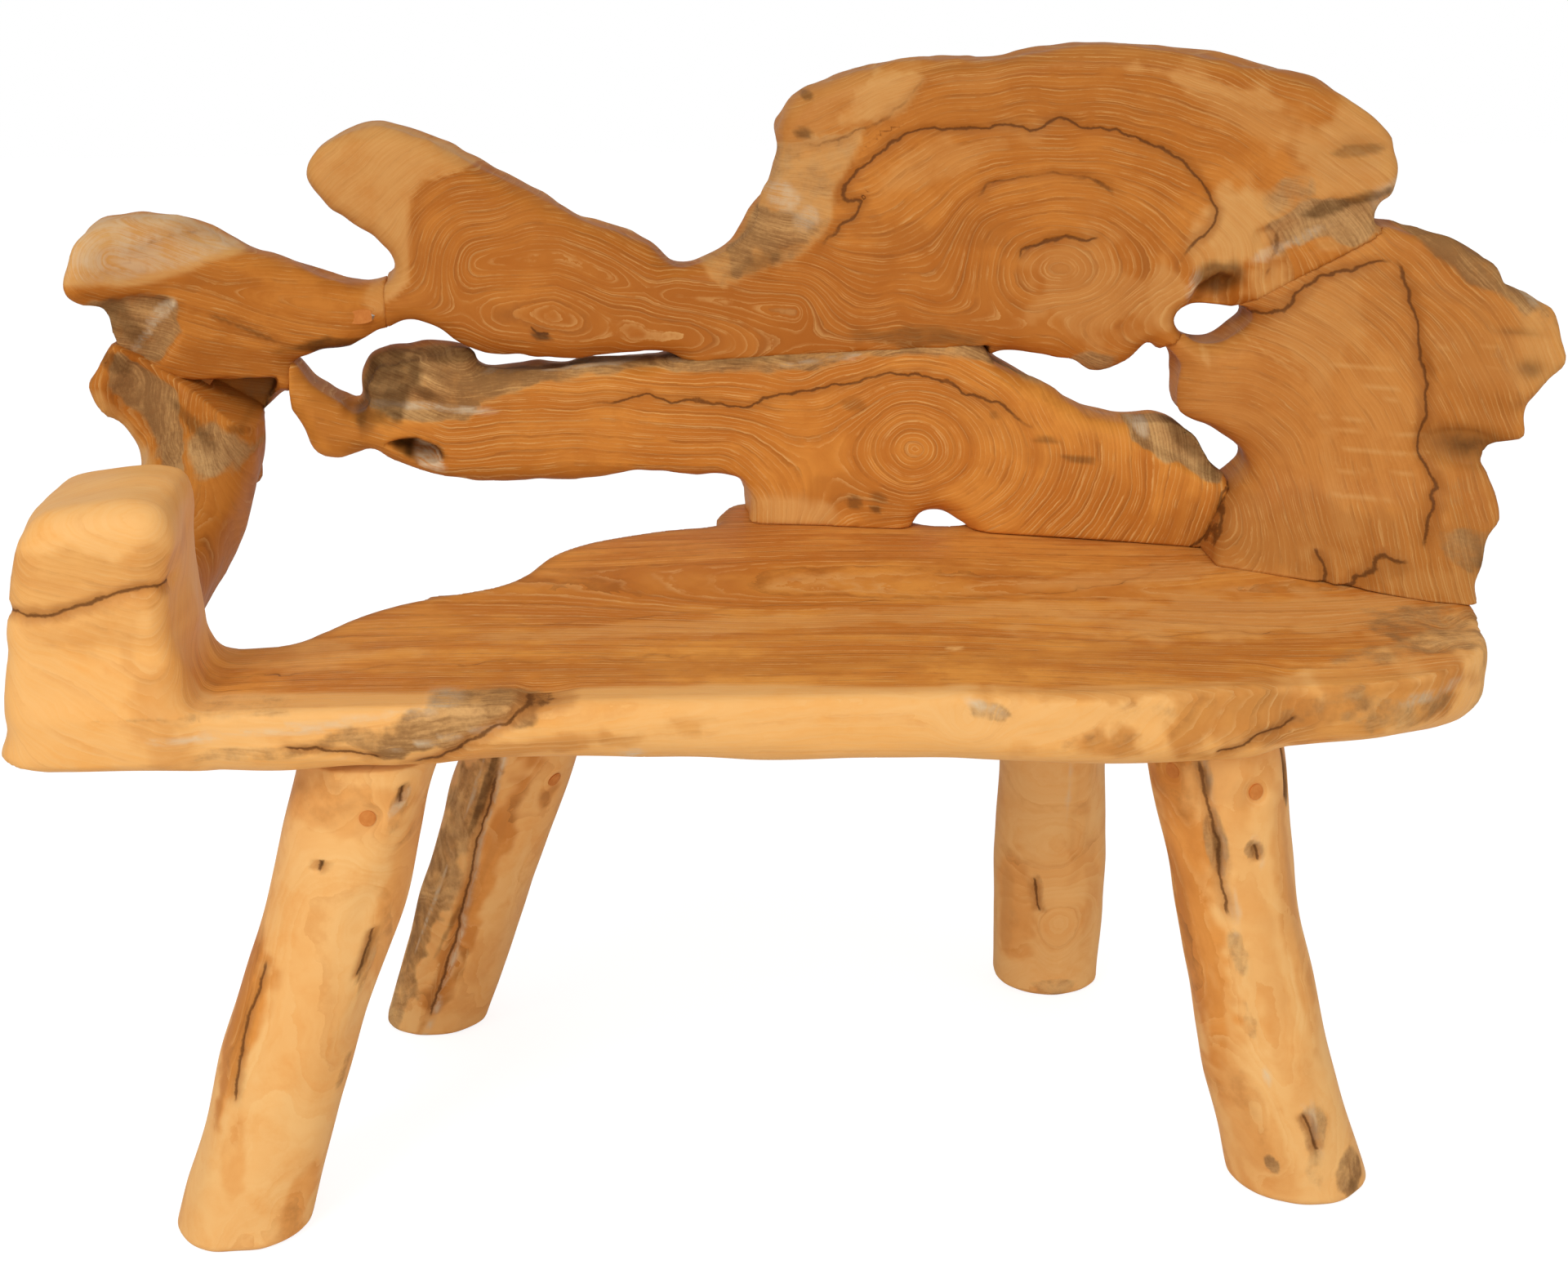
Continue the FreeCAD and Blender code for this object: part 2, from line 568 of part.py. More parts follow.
# Tongues across the seams of the back, and into the seat log.
wide_sides = (tongue_width, tongue_thickness, tongue_length)
small_sides = (small_tongue_width, small_tongue_thickness, small_tongue_length)
neck_sides = (neck_tongue_width, small_tongue_thickness, neck_tongue_length)
seam_sets = {
    "crest_rail_tongues": (crest_rail_seam_shares, crest_rail_tongue_shares, wide_sides),
    "crest_disc_tongues": (crest_disc_seam_shares, crest_disc_tongue_shares, wide_sides),
    "rail_disc_tongue": (rail_disc_seam_shares, rail_disc_tongue_shares, small_sides),
    "horn_crest_tongue": (horn_crest_seam_shares, horn_crest_tongue_shares, small_sides),
    "horn_rail_tongue": (horn_rail_seam_shares, horn_rail_tongue_shares, neck_sides),
    "post_horn_tongue": (post_horn_seam_shares, post_horn_tongue_shares, wide_sides),
}
slabs = {"crest": crest, "horn": horn, "rail": rail, "disc": disc, "post": post}
tongues = {}
for name, (seam, places, sides) in seam_sets.items():
    pairs = seam_tongues(seam, places, sides)
    tongues[name] = [tongue for tongue, mortise in pairs]
    for slab in slabs:
        if slab in name:
            for tongue, mortise in pairs:
                slabs[slab] = slabs[slab].cut(mortise)

seat_sets = {"rail_seat_tongues": ("rail", rail_foot_shares), "disc_seat_tongues": ("disc", disc_foot_shares)}
sideways = vector(1, 0, 0)
upright = vector(0, 0, 1)
for name, (slab, places) in seat_sets.items():
    tongues[name] = []
    for across in places:
        middle = mid_back(across, drawn_seat_share)
        tongue, mortise = tongue_at(middle, sideways, upright, wide_sides)
        tongues[name].append(tongue)
        slabs[slab] = slabs[slab].cut(mortise)
        seat_log = seat_log.cut(mortise)

post_end = vector(post_rings[0][0] * bench_length, arm_block_back, level_of(post_rings[0][2]))
end_tongue, end_mortise = tongue_at(post_end, sideways, vector(0, 1, 0), wide_sides)
tongues["post_seat_tongue"] = [end_tongue]
slabs["post"] = slabs["post"].cut(end_mortise)
seat_log = seat_log.cut(end_mortise)

# Screw from the front through the horn's tongue into the crest, under its plug.
horn_spot = front_points([horn_screw_shares])[0]
face_y = back_front_y(horn_spot.x) + lean_slope * (horn_spot.z - seat_height)
horn_face = vector(horn_spot.x, face_y, horn_spot.z)
aim = vector(math.cos(math.radians(horn_screw_angle)), math.sin(math.radians(horn_screw_angle)), 0)
horn_plug, horn_screw, horn_bore = hidden_screw(horn_face, aim, horn_screw_length, slabs["horn"])
slabs["horn"] = slabs["horn"].cut(horn_bore)
slabs["crest"] = slabs["crest"].cut(horn_bore)

pieces = {"seat_log": [seat_log], "post_root": [slabs["post"]], "horn_root": [slabs["horn"]],
          "crest_root": [slabs["crest"]], "middle_rail_root": [slabs["rail"]], "disc_root": [slabs["disc"]],
          "leg_loose_tenons": list(tenons.values()), "leg_screws": leg_screws, "leg_screw_plugs": leg_plugs,
          "horn_screw": [horn_screw], "horn_screw_plug": [horn_plug]}
pieces.update({"leg_" + name: [leg] for name, leg in legs.items()})
pieces.update(tongues)
for name, solids in pieces.items():
    write(name, solids)
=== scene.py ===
import bpy
import math
import numpy as np
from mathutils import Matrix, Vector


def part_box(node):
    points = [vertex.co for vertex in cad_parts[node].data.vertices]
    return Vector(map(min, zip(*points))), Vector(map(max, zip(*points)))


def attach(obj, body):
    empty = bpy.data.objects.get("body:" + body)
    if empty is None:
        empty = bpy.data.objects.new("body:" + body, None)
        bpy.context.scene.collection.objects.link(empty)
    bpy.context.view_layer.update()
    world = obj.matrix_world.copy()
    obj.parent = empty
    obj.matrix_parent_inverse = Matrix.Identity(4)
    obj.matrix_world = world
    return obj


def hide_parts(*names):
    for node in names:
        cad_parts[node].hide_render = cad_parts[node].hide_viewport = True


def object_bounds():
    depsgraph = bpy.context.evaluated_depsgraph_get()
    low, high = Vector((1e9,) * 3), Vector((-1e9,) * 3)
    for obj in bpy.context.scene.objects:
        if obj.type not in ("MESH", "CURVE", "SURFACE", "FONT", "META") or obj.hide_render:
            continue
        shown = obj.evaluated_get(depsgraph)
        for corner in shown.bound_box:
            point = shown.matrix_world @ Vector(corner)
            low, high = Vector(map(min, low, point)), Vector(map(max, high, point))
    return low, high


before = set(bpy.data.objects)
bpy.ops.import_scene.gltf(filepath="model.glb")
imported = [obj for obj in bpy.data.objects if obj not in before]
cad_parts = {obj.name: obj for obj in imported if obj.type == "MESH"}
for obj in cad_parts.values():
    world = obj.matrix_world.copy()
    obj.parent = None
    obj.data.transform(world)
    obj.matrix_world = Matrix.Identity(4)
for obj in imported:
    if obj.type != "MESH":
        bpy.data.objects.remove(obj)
cad_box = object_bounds()
low_corner, high_corner = (np.array(corner, float) for corner in cad_box)
bench_length, bench_depth, bench_height = high_corner - low_corner

# Seat log
# Half of a split trunk with its sawn face up, a belly of bark-side wood under it and the
# stump of a root left standing at one end as an arm block, all one piece of oiled wood.
# Outlines are in thousandths of the bench's sides, and cracks and stains in millimetres.
seat_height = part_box("disc_root")[0][2]
seat_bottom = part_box("leg_front_left")[1][2]
belly_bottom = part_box("seat_log")[0][2]
arm_block_front = -0.258
arm_block_back = -0.122
seat_cell = 0.0042
lattice_cells = 32
margin_cells = 2.5
shell_cells = 4
seat_plan = [
    (10, 145), (18, 50), (45, 26), (150, 22), (300, 25), (450, 25), (550, 20), (630, 3), (700, 6),
    (770, 20), (835, 30), (880, 70), (912, 140), (926, 230), (935, 320), (938, 440), (922, 575), (870, 690),
    (785, 785), (668, 864), (640, 800), (612, 772), (588, 800), (565, 900), (470, 925), (445, 860),
    (440, 800), (400, 776), (350, 722), (320, 652), (303, 568), (282, 510), (228, 455), (198, 398),
    (177, 335), (155, 285), (100, 278), (30, 278),
]
belly_plan = [
    (225, 390), (232, 610), (280, 660), (400, 740), (560, 750), (690, 735), (755, 640), (755, 390),
    (690, 335), (320, 335),
]
arm_block_front_view = [
    (11, 450), (12, 520), (19, 600), (27, 652), (40, 678), (65, 686), (100, 688), (113, 670), (111, 600),
    (110, 450),
]
# Drying cracks of the front edge and of the arm block, seen from the front.
front_cracks = [
    [(-165, 452), (-187, 445), (-233, 429), (-275, 404), (-320, 386)],
    [(-620, 509), (-549, 514), (-503, 521), (-484, 526), (-448, 529)],
    [(340, 412), (313, 399), (288, 390), (265, 387)],
    [(-400, 412), (-376, 410), (-355, 406), (-323, 396)],
]
# Front edge of the sawn face, in plan.
face_knots = [
    (-470, -222), (-310, -231), (-170, -230), (-40, -232), (10, -240), (70, -246), (110, -243), (150, -252),
    (230, -254), (280, -250), (330, -234), (420, -190), (500, -130),
]
# Dark streaks in the grain of the sawn face, in plan.
top_streaks = [
    [(-330, -105), (-252, -94), (-155, -88), (-61, -65), (33, -59), (99, -51), (143, -52), (210, -35),
     (261, -19), (322, 29), (350, 50)],
    [(-478, -196), (-391, -182), (-313, -180), (-156, -169), (-50, -170)],
    [(130, -158), (210, -160), (306, -155), (400, -150)],
    [(120, 4), (164, -1), (184, -3), (215, 4)],
]


def flowing(points, steps=6):
    """Closed curve through given points: on each span the cubic whose slope at an end is half
    the chord between that end's neighbours."""
    before, start, end, after = (np.roll(points, shift, 0)[:, None] for shift in (1, 0, -1, -2))
    t = np.linspace(0, 1, steps, endpoint=False)[None, :, None]
    square = 2 * before - 5 * start + 4 * end - after
    cube = 3 * start - before - 3 * end + after
    return (start + ((end - before) * t + square * t ** 2 + cube * t ** 3) / 2).reshape(-1, 2)


def front_view(shares):
    """Thousandths of the bench's length and height as metres across and up."""
    return np.array(shares) / 1000 * (bench_length, bench_height) + (low_corner[0], 0)


def plan_view(shares):
    """Thousandths of the bench's length and depth as metres across and back."""
    return np.array(shares) / 1000 * (bench_length, bench_depth) + low_corner[:2]


def outline_distance(across, up, curve):
    """Distance to a closed curve, below zero inside: the least distance to its segments, with the sign
    from how many of them a ray to one side crosses."""
    nearest = np.full(np.broadcast(across, up).shape, np.inf)
    crossed = np.zeros(nearest.shape, bool)
    for (ax, ay), (bx, by) in zip(curve, np.roll(curve, -1, 0)):
        run, rise = bx - ax, by - ay
        share = np.clip(((across - ax) * run + (up - ay) * rise) / (run * run + rise * rise), 0, 1)
        nearest = np.minimum(nearest, (across - ax - share * run) ** 2 + (up - ay - share * rise) ** 2)
        spans = (ay > up) != (by > up)
        crossed ^= spans & (across < ax + run * (up - ay) / (rise or 1))
    return np.where(crossed, -1, 1) * np.sqrt(nearest)


def path_distance(across, up, path):
    """Signed distance to an open path, above zero on its left, and the share of the path at the nearest
    point: perpendicular to the nearest of its segments."""
    path = np.array(path)
    lengths = np.hypot(*np.diff(path, axis=0).T)
    nearest = np.full(np.shape(across), np.inf)
    place = np.zeros(np.shape(across))
    passed = 0
    for (ax, ay), (bx, by), length in zip(path[:-1], path[1:], lengths):
        run, rise = (bx - ax) / length, (by - ay) / length
        share = np.clip((across - ax) * run + (up - ay) * rise, 0, length)
        side = (up - ay) * run - (across - ax) * rise
        gap = np.hypot(across - ax - share * run, up - ay - share * rise) * np.where(side < 0, -1, 1)
        closer = np.abs(gap) < np.abs(nearest)
        nearest = np.where(closer, gap, nearest)
        place = np.where(closer, (passed + share) / lengths.sum(), place)
        passed += length
    return nearest, place


def round_meet(first, second, radius):
    """Where two bodies meet in a rounded corner: a quarter circle of the radius between their distances."""
    corner = np.hypot(np.maximum(first + radius, 0), np.maximum(second + radius, 0))
    return corner + np.minimum(np.maximum(first, second), -radius)


def soft_join(first, second, reach):
    """Union of two distances with a hollow fillet: the lesser, lowered by a parabola where they are alike."""
    blend = np.maximum(reach - np.abs(first - second), 0) / reach
    return np.minimum(first, second) - blend * blend * reach / 4


def noise(points, size, seed):
    """Smooth random field between -1 and 1: values of a seeded lattice with cells of the size, blended by
    the smooth step of the place in the cell."""
    lattice = np.random.default_rng(seed).uniform(-1, 1, (lattice_cells,) * 3)
    place = points / np.array(size)
    base = np.floor(place).astype(int)
    part = place - base
    part = part * part * (3 - 2 * part)
    total = 0
    for corner in np.ndindex(2, 2, 2):
        weight = np.prod(np.where(corner, part, 1 - part), axis=-1)
        across, back, up = ((base + corner) % lattice_cells).T
        total = total + weight * lattice[across, back, up]
    return total


def step_up(value, start, end):
    """0 below the start, 1 above the end and a smooth step between."""
    share = np.clip((value - start) / (end - start), 0, 1)
    return share * share * (3 - 2 * share)


def skin(field, low, cell):
    """Closed quads where a field changes sign: one point in each crossed cell, at the mean of where the
    cell's edges are crossed, and one quad round each crossed edge."""
    inside = field < 0
    corners = list(np.ndindex(2, 2, 2))
    counts = sum(inside[tuple(slice(c, c + n - 1) for c, n in zip(corner, field.shape))].astype(np.int8)
                 for corner in corners)
    cells = np.argwhere((counts > 0) & (counts < 8))
    total = np.zeros(cells.shape)
    hits = np.zeros(len(cells))
    for start in corners:
        for axis in range(3):
            if start[axis]:
                continue
            end = tuple(c + (a == axis) for a, c in enumerate(start))
            first = field[tuple((cells + start).T)]
            last = field[tuple((cells + end).T)]
            cut = (first < 0) != (last < 0)
            share = np.where(cut, first / np.where(cut, first - last, 1), 0)
            total += np.where(cut[:, None], np.array(start) + share[:, None] * np.eye(3)[axis], 0)
            hits += cut
    points = low + (cells + total / hits[:, None]) * cell
    index = np.full(field.shape, -1)
    index[tuple(cells.T)] = np.arange(len(cells))
    quads = []
    for axis in range(3):
        before = np.take(inside, np.arange(field.shape[axis] - 1), axis)
        after = np.take(inside, np.arange(1, field.shape[axis]), axis)
        edges = np.argwhere(before != after)
        turned = before[tuple(edges.T)]
        one, two = np.eye(3, dtype=int)[(axis + 1) % 3], np.eye(3, dtype=int)[(axis + 2) % 3]
        ring = np.stack([index[tuple((edges - shift).T)] for shift in (one + two, two, 0 * one, one)], 1)
        quads.append(np.where(turned[:, None], ring, ring[:, ::-1]))
    return points, np.concatenate(quads)


def carve(low, high, cell, form, relief, cuts=None):
    """Points and quads of a carved body: its form as a distance on a grid, roughened near its skin, then
    cut by the plain joint faces, and closed where it would leave the grid."""
    low = np.array(low) - margin_cells * cell
    across, back, up = (np.arange(a, b + margin_cells * cell, cell) for a, b in zip(low, high))
    field = form(across[:, None, None], back[None, :, None], up[None, None, :])
    shell = np.nonzero(np.abs(field) < shell_cells * cell)
    places = np.stack([across[shell[0]], back[shell[1]], up[shell[2]]], 1)
    field[shell] += relief(places)
    if cuts:
        field = np.maximum(field, cuts(across[:, None, None], back[None, :, None], up[None, None, :]))
    rim = np.ones(field.shape, bool)
    rim[1:-1, 1:-1, 1:-1] = False
    return skin(np.where(rim, np.maximum(field, cell), field), low, cell)


def add_piece(name, points, faces, marks):
    """Smooth mesh object from points and faces, kept inside the frame's box, with a number at each point
    for every mark that its finish reads."""
    points = np.clip(points, low_corner, high_corner)
    mesh = bpy.data.meshes.new(name)
    mesh.from_pydata(points, [], faces)
    mesh.polygons.foreach_set("use_smooth", np.ones(len(mesh.polygons), bool))
    for mark, values in marks.items():
        layer = mesh.attributes.new(mark, "FLOAT", "POINT")
        layer.data.foreach_set("value", np.broadcast_to(values, len(points)).astype(np.float32))
    piece = bpy.data.objects.new(name, mesh)
    bpy.context.scene.collection.objects.link(piece)
    return piece


def spot(across, up, centre, reach_across, reach_up):
    """Soft oval about a centre."""
    return np.exp(-((across - centre[0]) / reach_across) ** 2 - ((up - centre[1]) / reach_up) ** 2)


def line_away(across, up, path):
    """Distance to an open path in millimetres."""
    return np.abs(path_distance(across, up, np.array(path) / 1000)[0])


def follow(value, knots):
    """Broken line through knots in millimetres, read at a value."""
    return np.interp(value, *np.array(knots).T / 1000)


def nearest_crack(across, up, cracks, seed, wander=0.004):
    """Signed distance to the nearest of some paths in millimetres, with a wander of the given size, and
    how open the crack is there: full between its ends, and closed at them and away from it."""
    spots = np.stack([across, up, 0 * up], 1)
    across = across + wander * (noise(spots, 0.03, seed) + 0.4 * noise(spots, 0.009, seed + 2))
    up = up + wander * (noise(spots, 0.022, seed + 1) + 0.4 * noise(spots, 0.007, seed + 3))
    nearest = np.full(len(across), 1.0)
    opened = np.zeros(len(across))
    for crack in cracks:
        gap, place = path_distance(across, up, np.array(crack) / 1000)
        closer = np.abs(gap) < np.abs(nearest)
        nearest = np.where(closer, gap, nearest)
        opened = np.where(closer, step_up(place, 0, 0.15) * step_up(1 - place, 0, 0.15), opened)
    return nearest, opened * step_up(-np.abs(nearest), -0.012, -0.007)


def patches(across, up, table, seed, ragged=0.3):
    """Strongest of some ovals, their edges made ragged by noise. An oval has its centre and half sizes in
    millimetres, a turn in degrees and a strength."""
    spots = np.stack([across, up, 0 * up], 1)
    rag = ragged * (noise(spots, 0.025, seed) + 0.5 * noise(spots, 0.008, seed + 1))
    total = np.zeros(len(across))
    for *oval, turn, strength in table:
        centre_x, centre_z, half_width, half_height = np.array(oval) / 1000
        lean = math.radians(turn)
        along = ((across - centre_x) * math.cos(lean) + (up - centre_z) * math.sin(lean)) / half_width
        athwart = ((up - centre_z) * math.cos(lean) - (across - centre_x) * math.sin(lean)) / half_height
        total = np.maximum(total, strength * step_up(-np.hypot(along, athwart) - rag, -1.3, -0.7))
    return total


def area(across, up, outline, seed, soft=0.003, ragged=0.004):
    """1 inside a closed outline in millimetres and 0 outside, with an edge moved by noise."""
    spots = np.stack([across, up, 0 * up], 1)
    rag = ragged * (noise(spots, 0.018, seed) + 0.5 * noise(spots, 0.006, seed + 1))
    return step_up(-outline_distance(across, up, np.array(outline) / 1000) + rag, -soft, soft)


plan_curve = flowing(plan_view(seat_plan))
belly_curve = flowing(plan_view(belly_plan))
block_curve = flowing(front_view(arm_block_front_view))


def seat_form(x, y, z):
    """Sawn slab with a thick rounded underside, joined softly to the belly and to the arm block."""
    plan = outline_distance(x[:, :, 0], y[:, :, 0], plan_curve)[:, :, None]
    belly_edge = outline_distance(x[:, :, 0], y[:, :, 0], belly_curve)[:, :, None]
    block_edge = outline_distance(x[:, 0, :], z[:, 0, :], block_curve)[:, None, :]
    lift = 0.006 - 0.012 * step_up(x, -0.5, 0.45) + 0.002 * np.sin(x * 19)
    slab = round_meet(round_meet(plan, seat_bottom + lift - z, 0.030), z - seat_height, 0.007)
    belly = round_meet(belly_edge, belly_bottom - z, 0.030)
    belly = np.maximum(belly, z - seat_height + 0.03)
    depth = np.maximum(arm_block_front - y, y - arm_block_back)
    block = round_meet(block_edge, depth, 0.020)
    block = np.maximum(block, seat_bottom + 0.020 - z)
    return soft_join(soft_join(slab, belly, 0.03), block, 0.022)


def seat_relief(spots):
    """Waves along the grain, deeper on the bark side, with the cracks cut in."""
    x, y, z = spots.T
    top = step_up(z, seat_height - 0.012, seat_height - 0.002) * step_up(x, -0.46, -0.43)
    bark = 0.0035 * noise(spots, (0.16, 0.06, 0.035), 3) + 0.0016 * noise(spots, (0.05, 0.03, 0.015), 4)
    sawn = 0.0009 * noise(spots, (0.22, 0.05, 0.2), 5)
    pit = spot(x, y, (0.487, -0.135), 0.018, 0.018) + spot(x, y, (0.455, -0.190), 0.012, 0.012)
    gap, opened = nearest_crack(x, z, front_cracks, 11)
    groove = opened * np.exp(-(gap / 0.0035) ** 2) * step_up(-y, 0.20, 0.23)
    fold = step_up(x, 0.300, 0.334) * step_up(-y, 0.20, 0.24) * step_up(seat_height + 0.01 - z, 0, 0.02)
    return bark * (1 - top) + sawn * top + 0.006 * (pit + fold) + 0.004 * groove


points, faces = carve(*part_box("seat_log"), seat_cell, seat_form, seat_relief)
x, y, z = points.T
pith_back = -0.03 + 0.05 * noise(points * (1, 0, 0), 0.35, 21)
pith_up = 0.335 + 0.02 * noise(points * (1, 0, 0), 0.22, 22)
ring = np.hypot(y - pith_back, z - pith_up) + 0.007 * noise(points, (0.30, 0.05, 0.05), 23)
front_edge = step_up(-outline_distance(x, y, plan_curve), 0.016, 0.004)
face_line = follow(x, face_knots) + 0.003 * noise(points, 0.03, 24)
bark_side = step_up(seat_height - z, 0.006, 0.02) * step_up(-y, -0.02, 0.1)
sapwood = np.maximum(step_up(face_line - y, -0.004, 0.006), bark_side)
on_block = step_up(z, seat_height + 0.004, seat_height + 0.03) * step_up(-x, 0.44, 0.46)
sapwood = np.maximum(sapwood, on_block)
right_end = patches(x, y, [(470, -150, 60, 50, 60, 1), (415, -205, 50, 20, 30, 0.8)], 25)
swirl = spot(x, z, (0.092, 0.414), 0.022, 0.022) * step_up(-y, 0.23, 0.25)
front = step_up(-y, 0.215, 0.235) * step_up(seat_height + 0.004 - z, 0, 0.006)
grey_table = [
    (-268, 428, 60, 16, 16, 0.9), (-330, 418, 60, 12, 6, 0.55), (-400, 408, 90, 6, 3, 0.45),
    (-440, 436, 60, 4, 0, 0.4), (-496, 481, 24, 10, 0, 0.45), (-538, 482, 14, 10, 0, 0.3),
    (108, 424, 18, 9, -20, 0.7), (172, 400, 50, 8, 4, 0.35), (240, 425, 40, 6, 0, 0.3),
    (330, 410, 45, 8, 20, 0.4), (440, 410, 60, 18, 0, 0.5),
]
worn = np.clip(0.55 * right_end * (1 - front) + front * patches(x, z, grey_table, 27, 0.5), 0, 1)
front_gap, front_open = nearest_crack(x, z, front_cracks, 11)
top_gap, top_open = nearest_crack(x, y, top_streaks, 12, 0.008)
on_top = (z > seat_height - 0.004) & (y > -0.23)
tone_table = [
    (-100, -195, 260, 22, 1, 0.55), (240, -200, 130, 30, 0, 0.45), (-300, -125, 160, 10, 8, 0.35),
    (130, 35, 100, 18, -14, 0.35), (-20, 150, 100, 30, 5, 0.3), (100, -169, 26, 10, 0, 0.5),
]
pale_table = [
    (20, -95, 300, 16, 5, 0.35), (360, -110, 160, 50, 0, 0.45), (300, 0, 120, 20, 12, 0.4),
    (-410, -150, 80, 30, 0, 0.3), (94, -169, 6, 4, 0, 1),
]
front_tone = [
    (-520, 488, 55, 2.2, 2, 1), (320, 402, 50, 14, 20, 0.8), (360, 428, 120, 20, 6, 0.35),
    (220, 432, 100, 10, 0, 0.3), (-150, 400, 100, 6, 2, 0.3), (-300, 440, 120, 4, 6, 0.5),
    (100, 418, 30, 14, -20, 0.4), (-520, 505, 70, 6, 0, 0.35), (-500, 455, 100, 8, 0, 0.3),
    (-520, 400, 90, 8, 0, 0.3),
]
tone = on_top * patches(x, y, tone_table, 31, 0.5) + 0.8 * front * patches(x, z, front_tone, 33, 0.6)
front_heart = [
    (360, 415, 140, 26, 4, 0.75), (200, 440, 120, 10, 0, 0.5), (-250, 398, 100, 8, 8, 0.5),
    (-530, 515, 60, 20, 0, 0.35), (-550, 545, 100, 12, 0, 0.4), (-470, 460, 20, 60, 0, 0.3),
]
sapwood = np.clip(sapwood - patches(x, z, front_heart, 37, 0.6) * (y < -0.18), 0, 1)
front_pale = [
    (-400, 424, 100, 3, 4, 0.6), (-280, 414, 50, 2, 12, 0.6), (-330, 432, 80, 2, 6, 0.5),
    (-150, 395, 10, 4, 0, 0.8), (105, 428, 16, 3, -20, 0.6), (450, 420, 40, 4, 10, 0.5),
]
sapwood = np.maximum(sapwood, on_top * patches(x, y, pale_table, 35, 0.5))
# The heartwood is made a little darker near the seat's edge in plan, fading out 16 mm inside it, and on its
# sides.
seat = add_piece("seat_log_carved", points, faces, {
    "ring": ring + 0.014 * swirl, "along": x, "sapwood": sapwood, "worn": worn, "tone": tone,
    "bleached": front * patches(x, z, front_pale, 39, 0.6),
    "crack": np.where(on_top, top_gap * 1.6, front_gap),
    "crack_open": np.where(on_top, top_open * 0.42, front_open * (y < -0.2)),
    "dark_wood_and_shade": 0.25 * front_edge * (1 - sapwood)})
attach(seat, "root")
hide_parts("seat_log")


class Link:
    """Socket of a finish with arithmetic: an expression on links adds its Math nodes."""

    def __init__(self, finish, socket):
        self.finish = finish
        self.socket = socket

    def math(self, operation, *values):
        return self.finish.node("Math", {"operation": operation}, dict(enumerate(values)))

    def __add__(self, other):
        return self.math("ADD", self, other)

    def __sub__(self, other):
        return self.math("SUBTRACT", self, other)

    def __rsub__(self, other):
        return self.math("SUBTRACT", other, self)

    def __mul__(self, other):
        return self.math("MULTIPLY", self, other)

    __radd__ = __add__
    __rmul__ = __mul__


class Finish:
    """Material under construction, with one method for every kind of node."""

    def __init__(self, name):
        self.material = bpy.data.materials.new(name)
        self.material.use_nodes = True
        self.tree = self.material.node_tree
        self.tree.nodes.clear()

    def node(self, kind, settings, inputs, output=0):
        made = self.tree.nodes.new("ShaderNode" + kind)
        for setting, value in settings.items():
            setattr(made, setting, value)
        for name, value in inputs.items():
            if isinstance(value, Link):
                self.tree.links.new(value.socket, made.inputs[name])
            else:
                made.inputs[name].default_value = value
        return Link(self, made.outputs[output]) if made.outputs else None

    def mark(self, name):
        return self.node("Attribute", {"attribute_name": name}, {}, "Fac")

    def spread(self, value, low, high, start=0.0, end=1.0):
        settings = {"interpolation_type": "SMOOTHSTEP"}
        inputs = {"Value": value, "From Min": low, "From Max": high, "To Min": start, "To Max": end}
        return self.node("MapRange", settings, inputs)

    def blend(self, share, first, second, kind="MIX"):
        settings = {"data_type": "RGBA", "blend_type": kind, "clamp_factor": True}
        return self.node("Mix", settings, {0: share, 6: first, 7: second}, 2)

    def noise(self, place, scale, detail, roughness=0.5):
        inputs = {"Vector": place, "Scale": scale, "Detail": detail, "Roughness": roughness}
        return self.node("TexNoise", {}, inputs)

    def grain(self, across, along, depth, detail, roughness=0.5):
        place = self.node("CombineXYZ", {}, {0: across, 1: along, 2: depth})
        return self.noise(place, 1.0, detail, roughness)

    def surface(self, looks, kind="BsdfPrincipled"):
        self.node("OutputMaterial", {}, {"Surface": self.node(kind, {}, looks)})


def colour(red, green, blue):
    return (red, green, blue, 1.0)


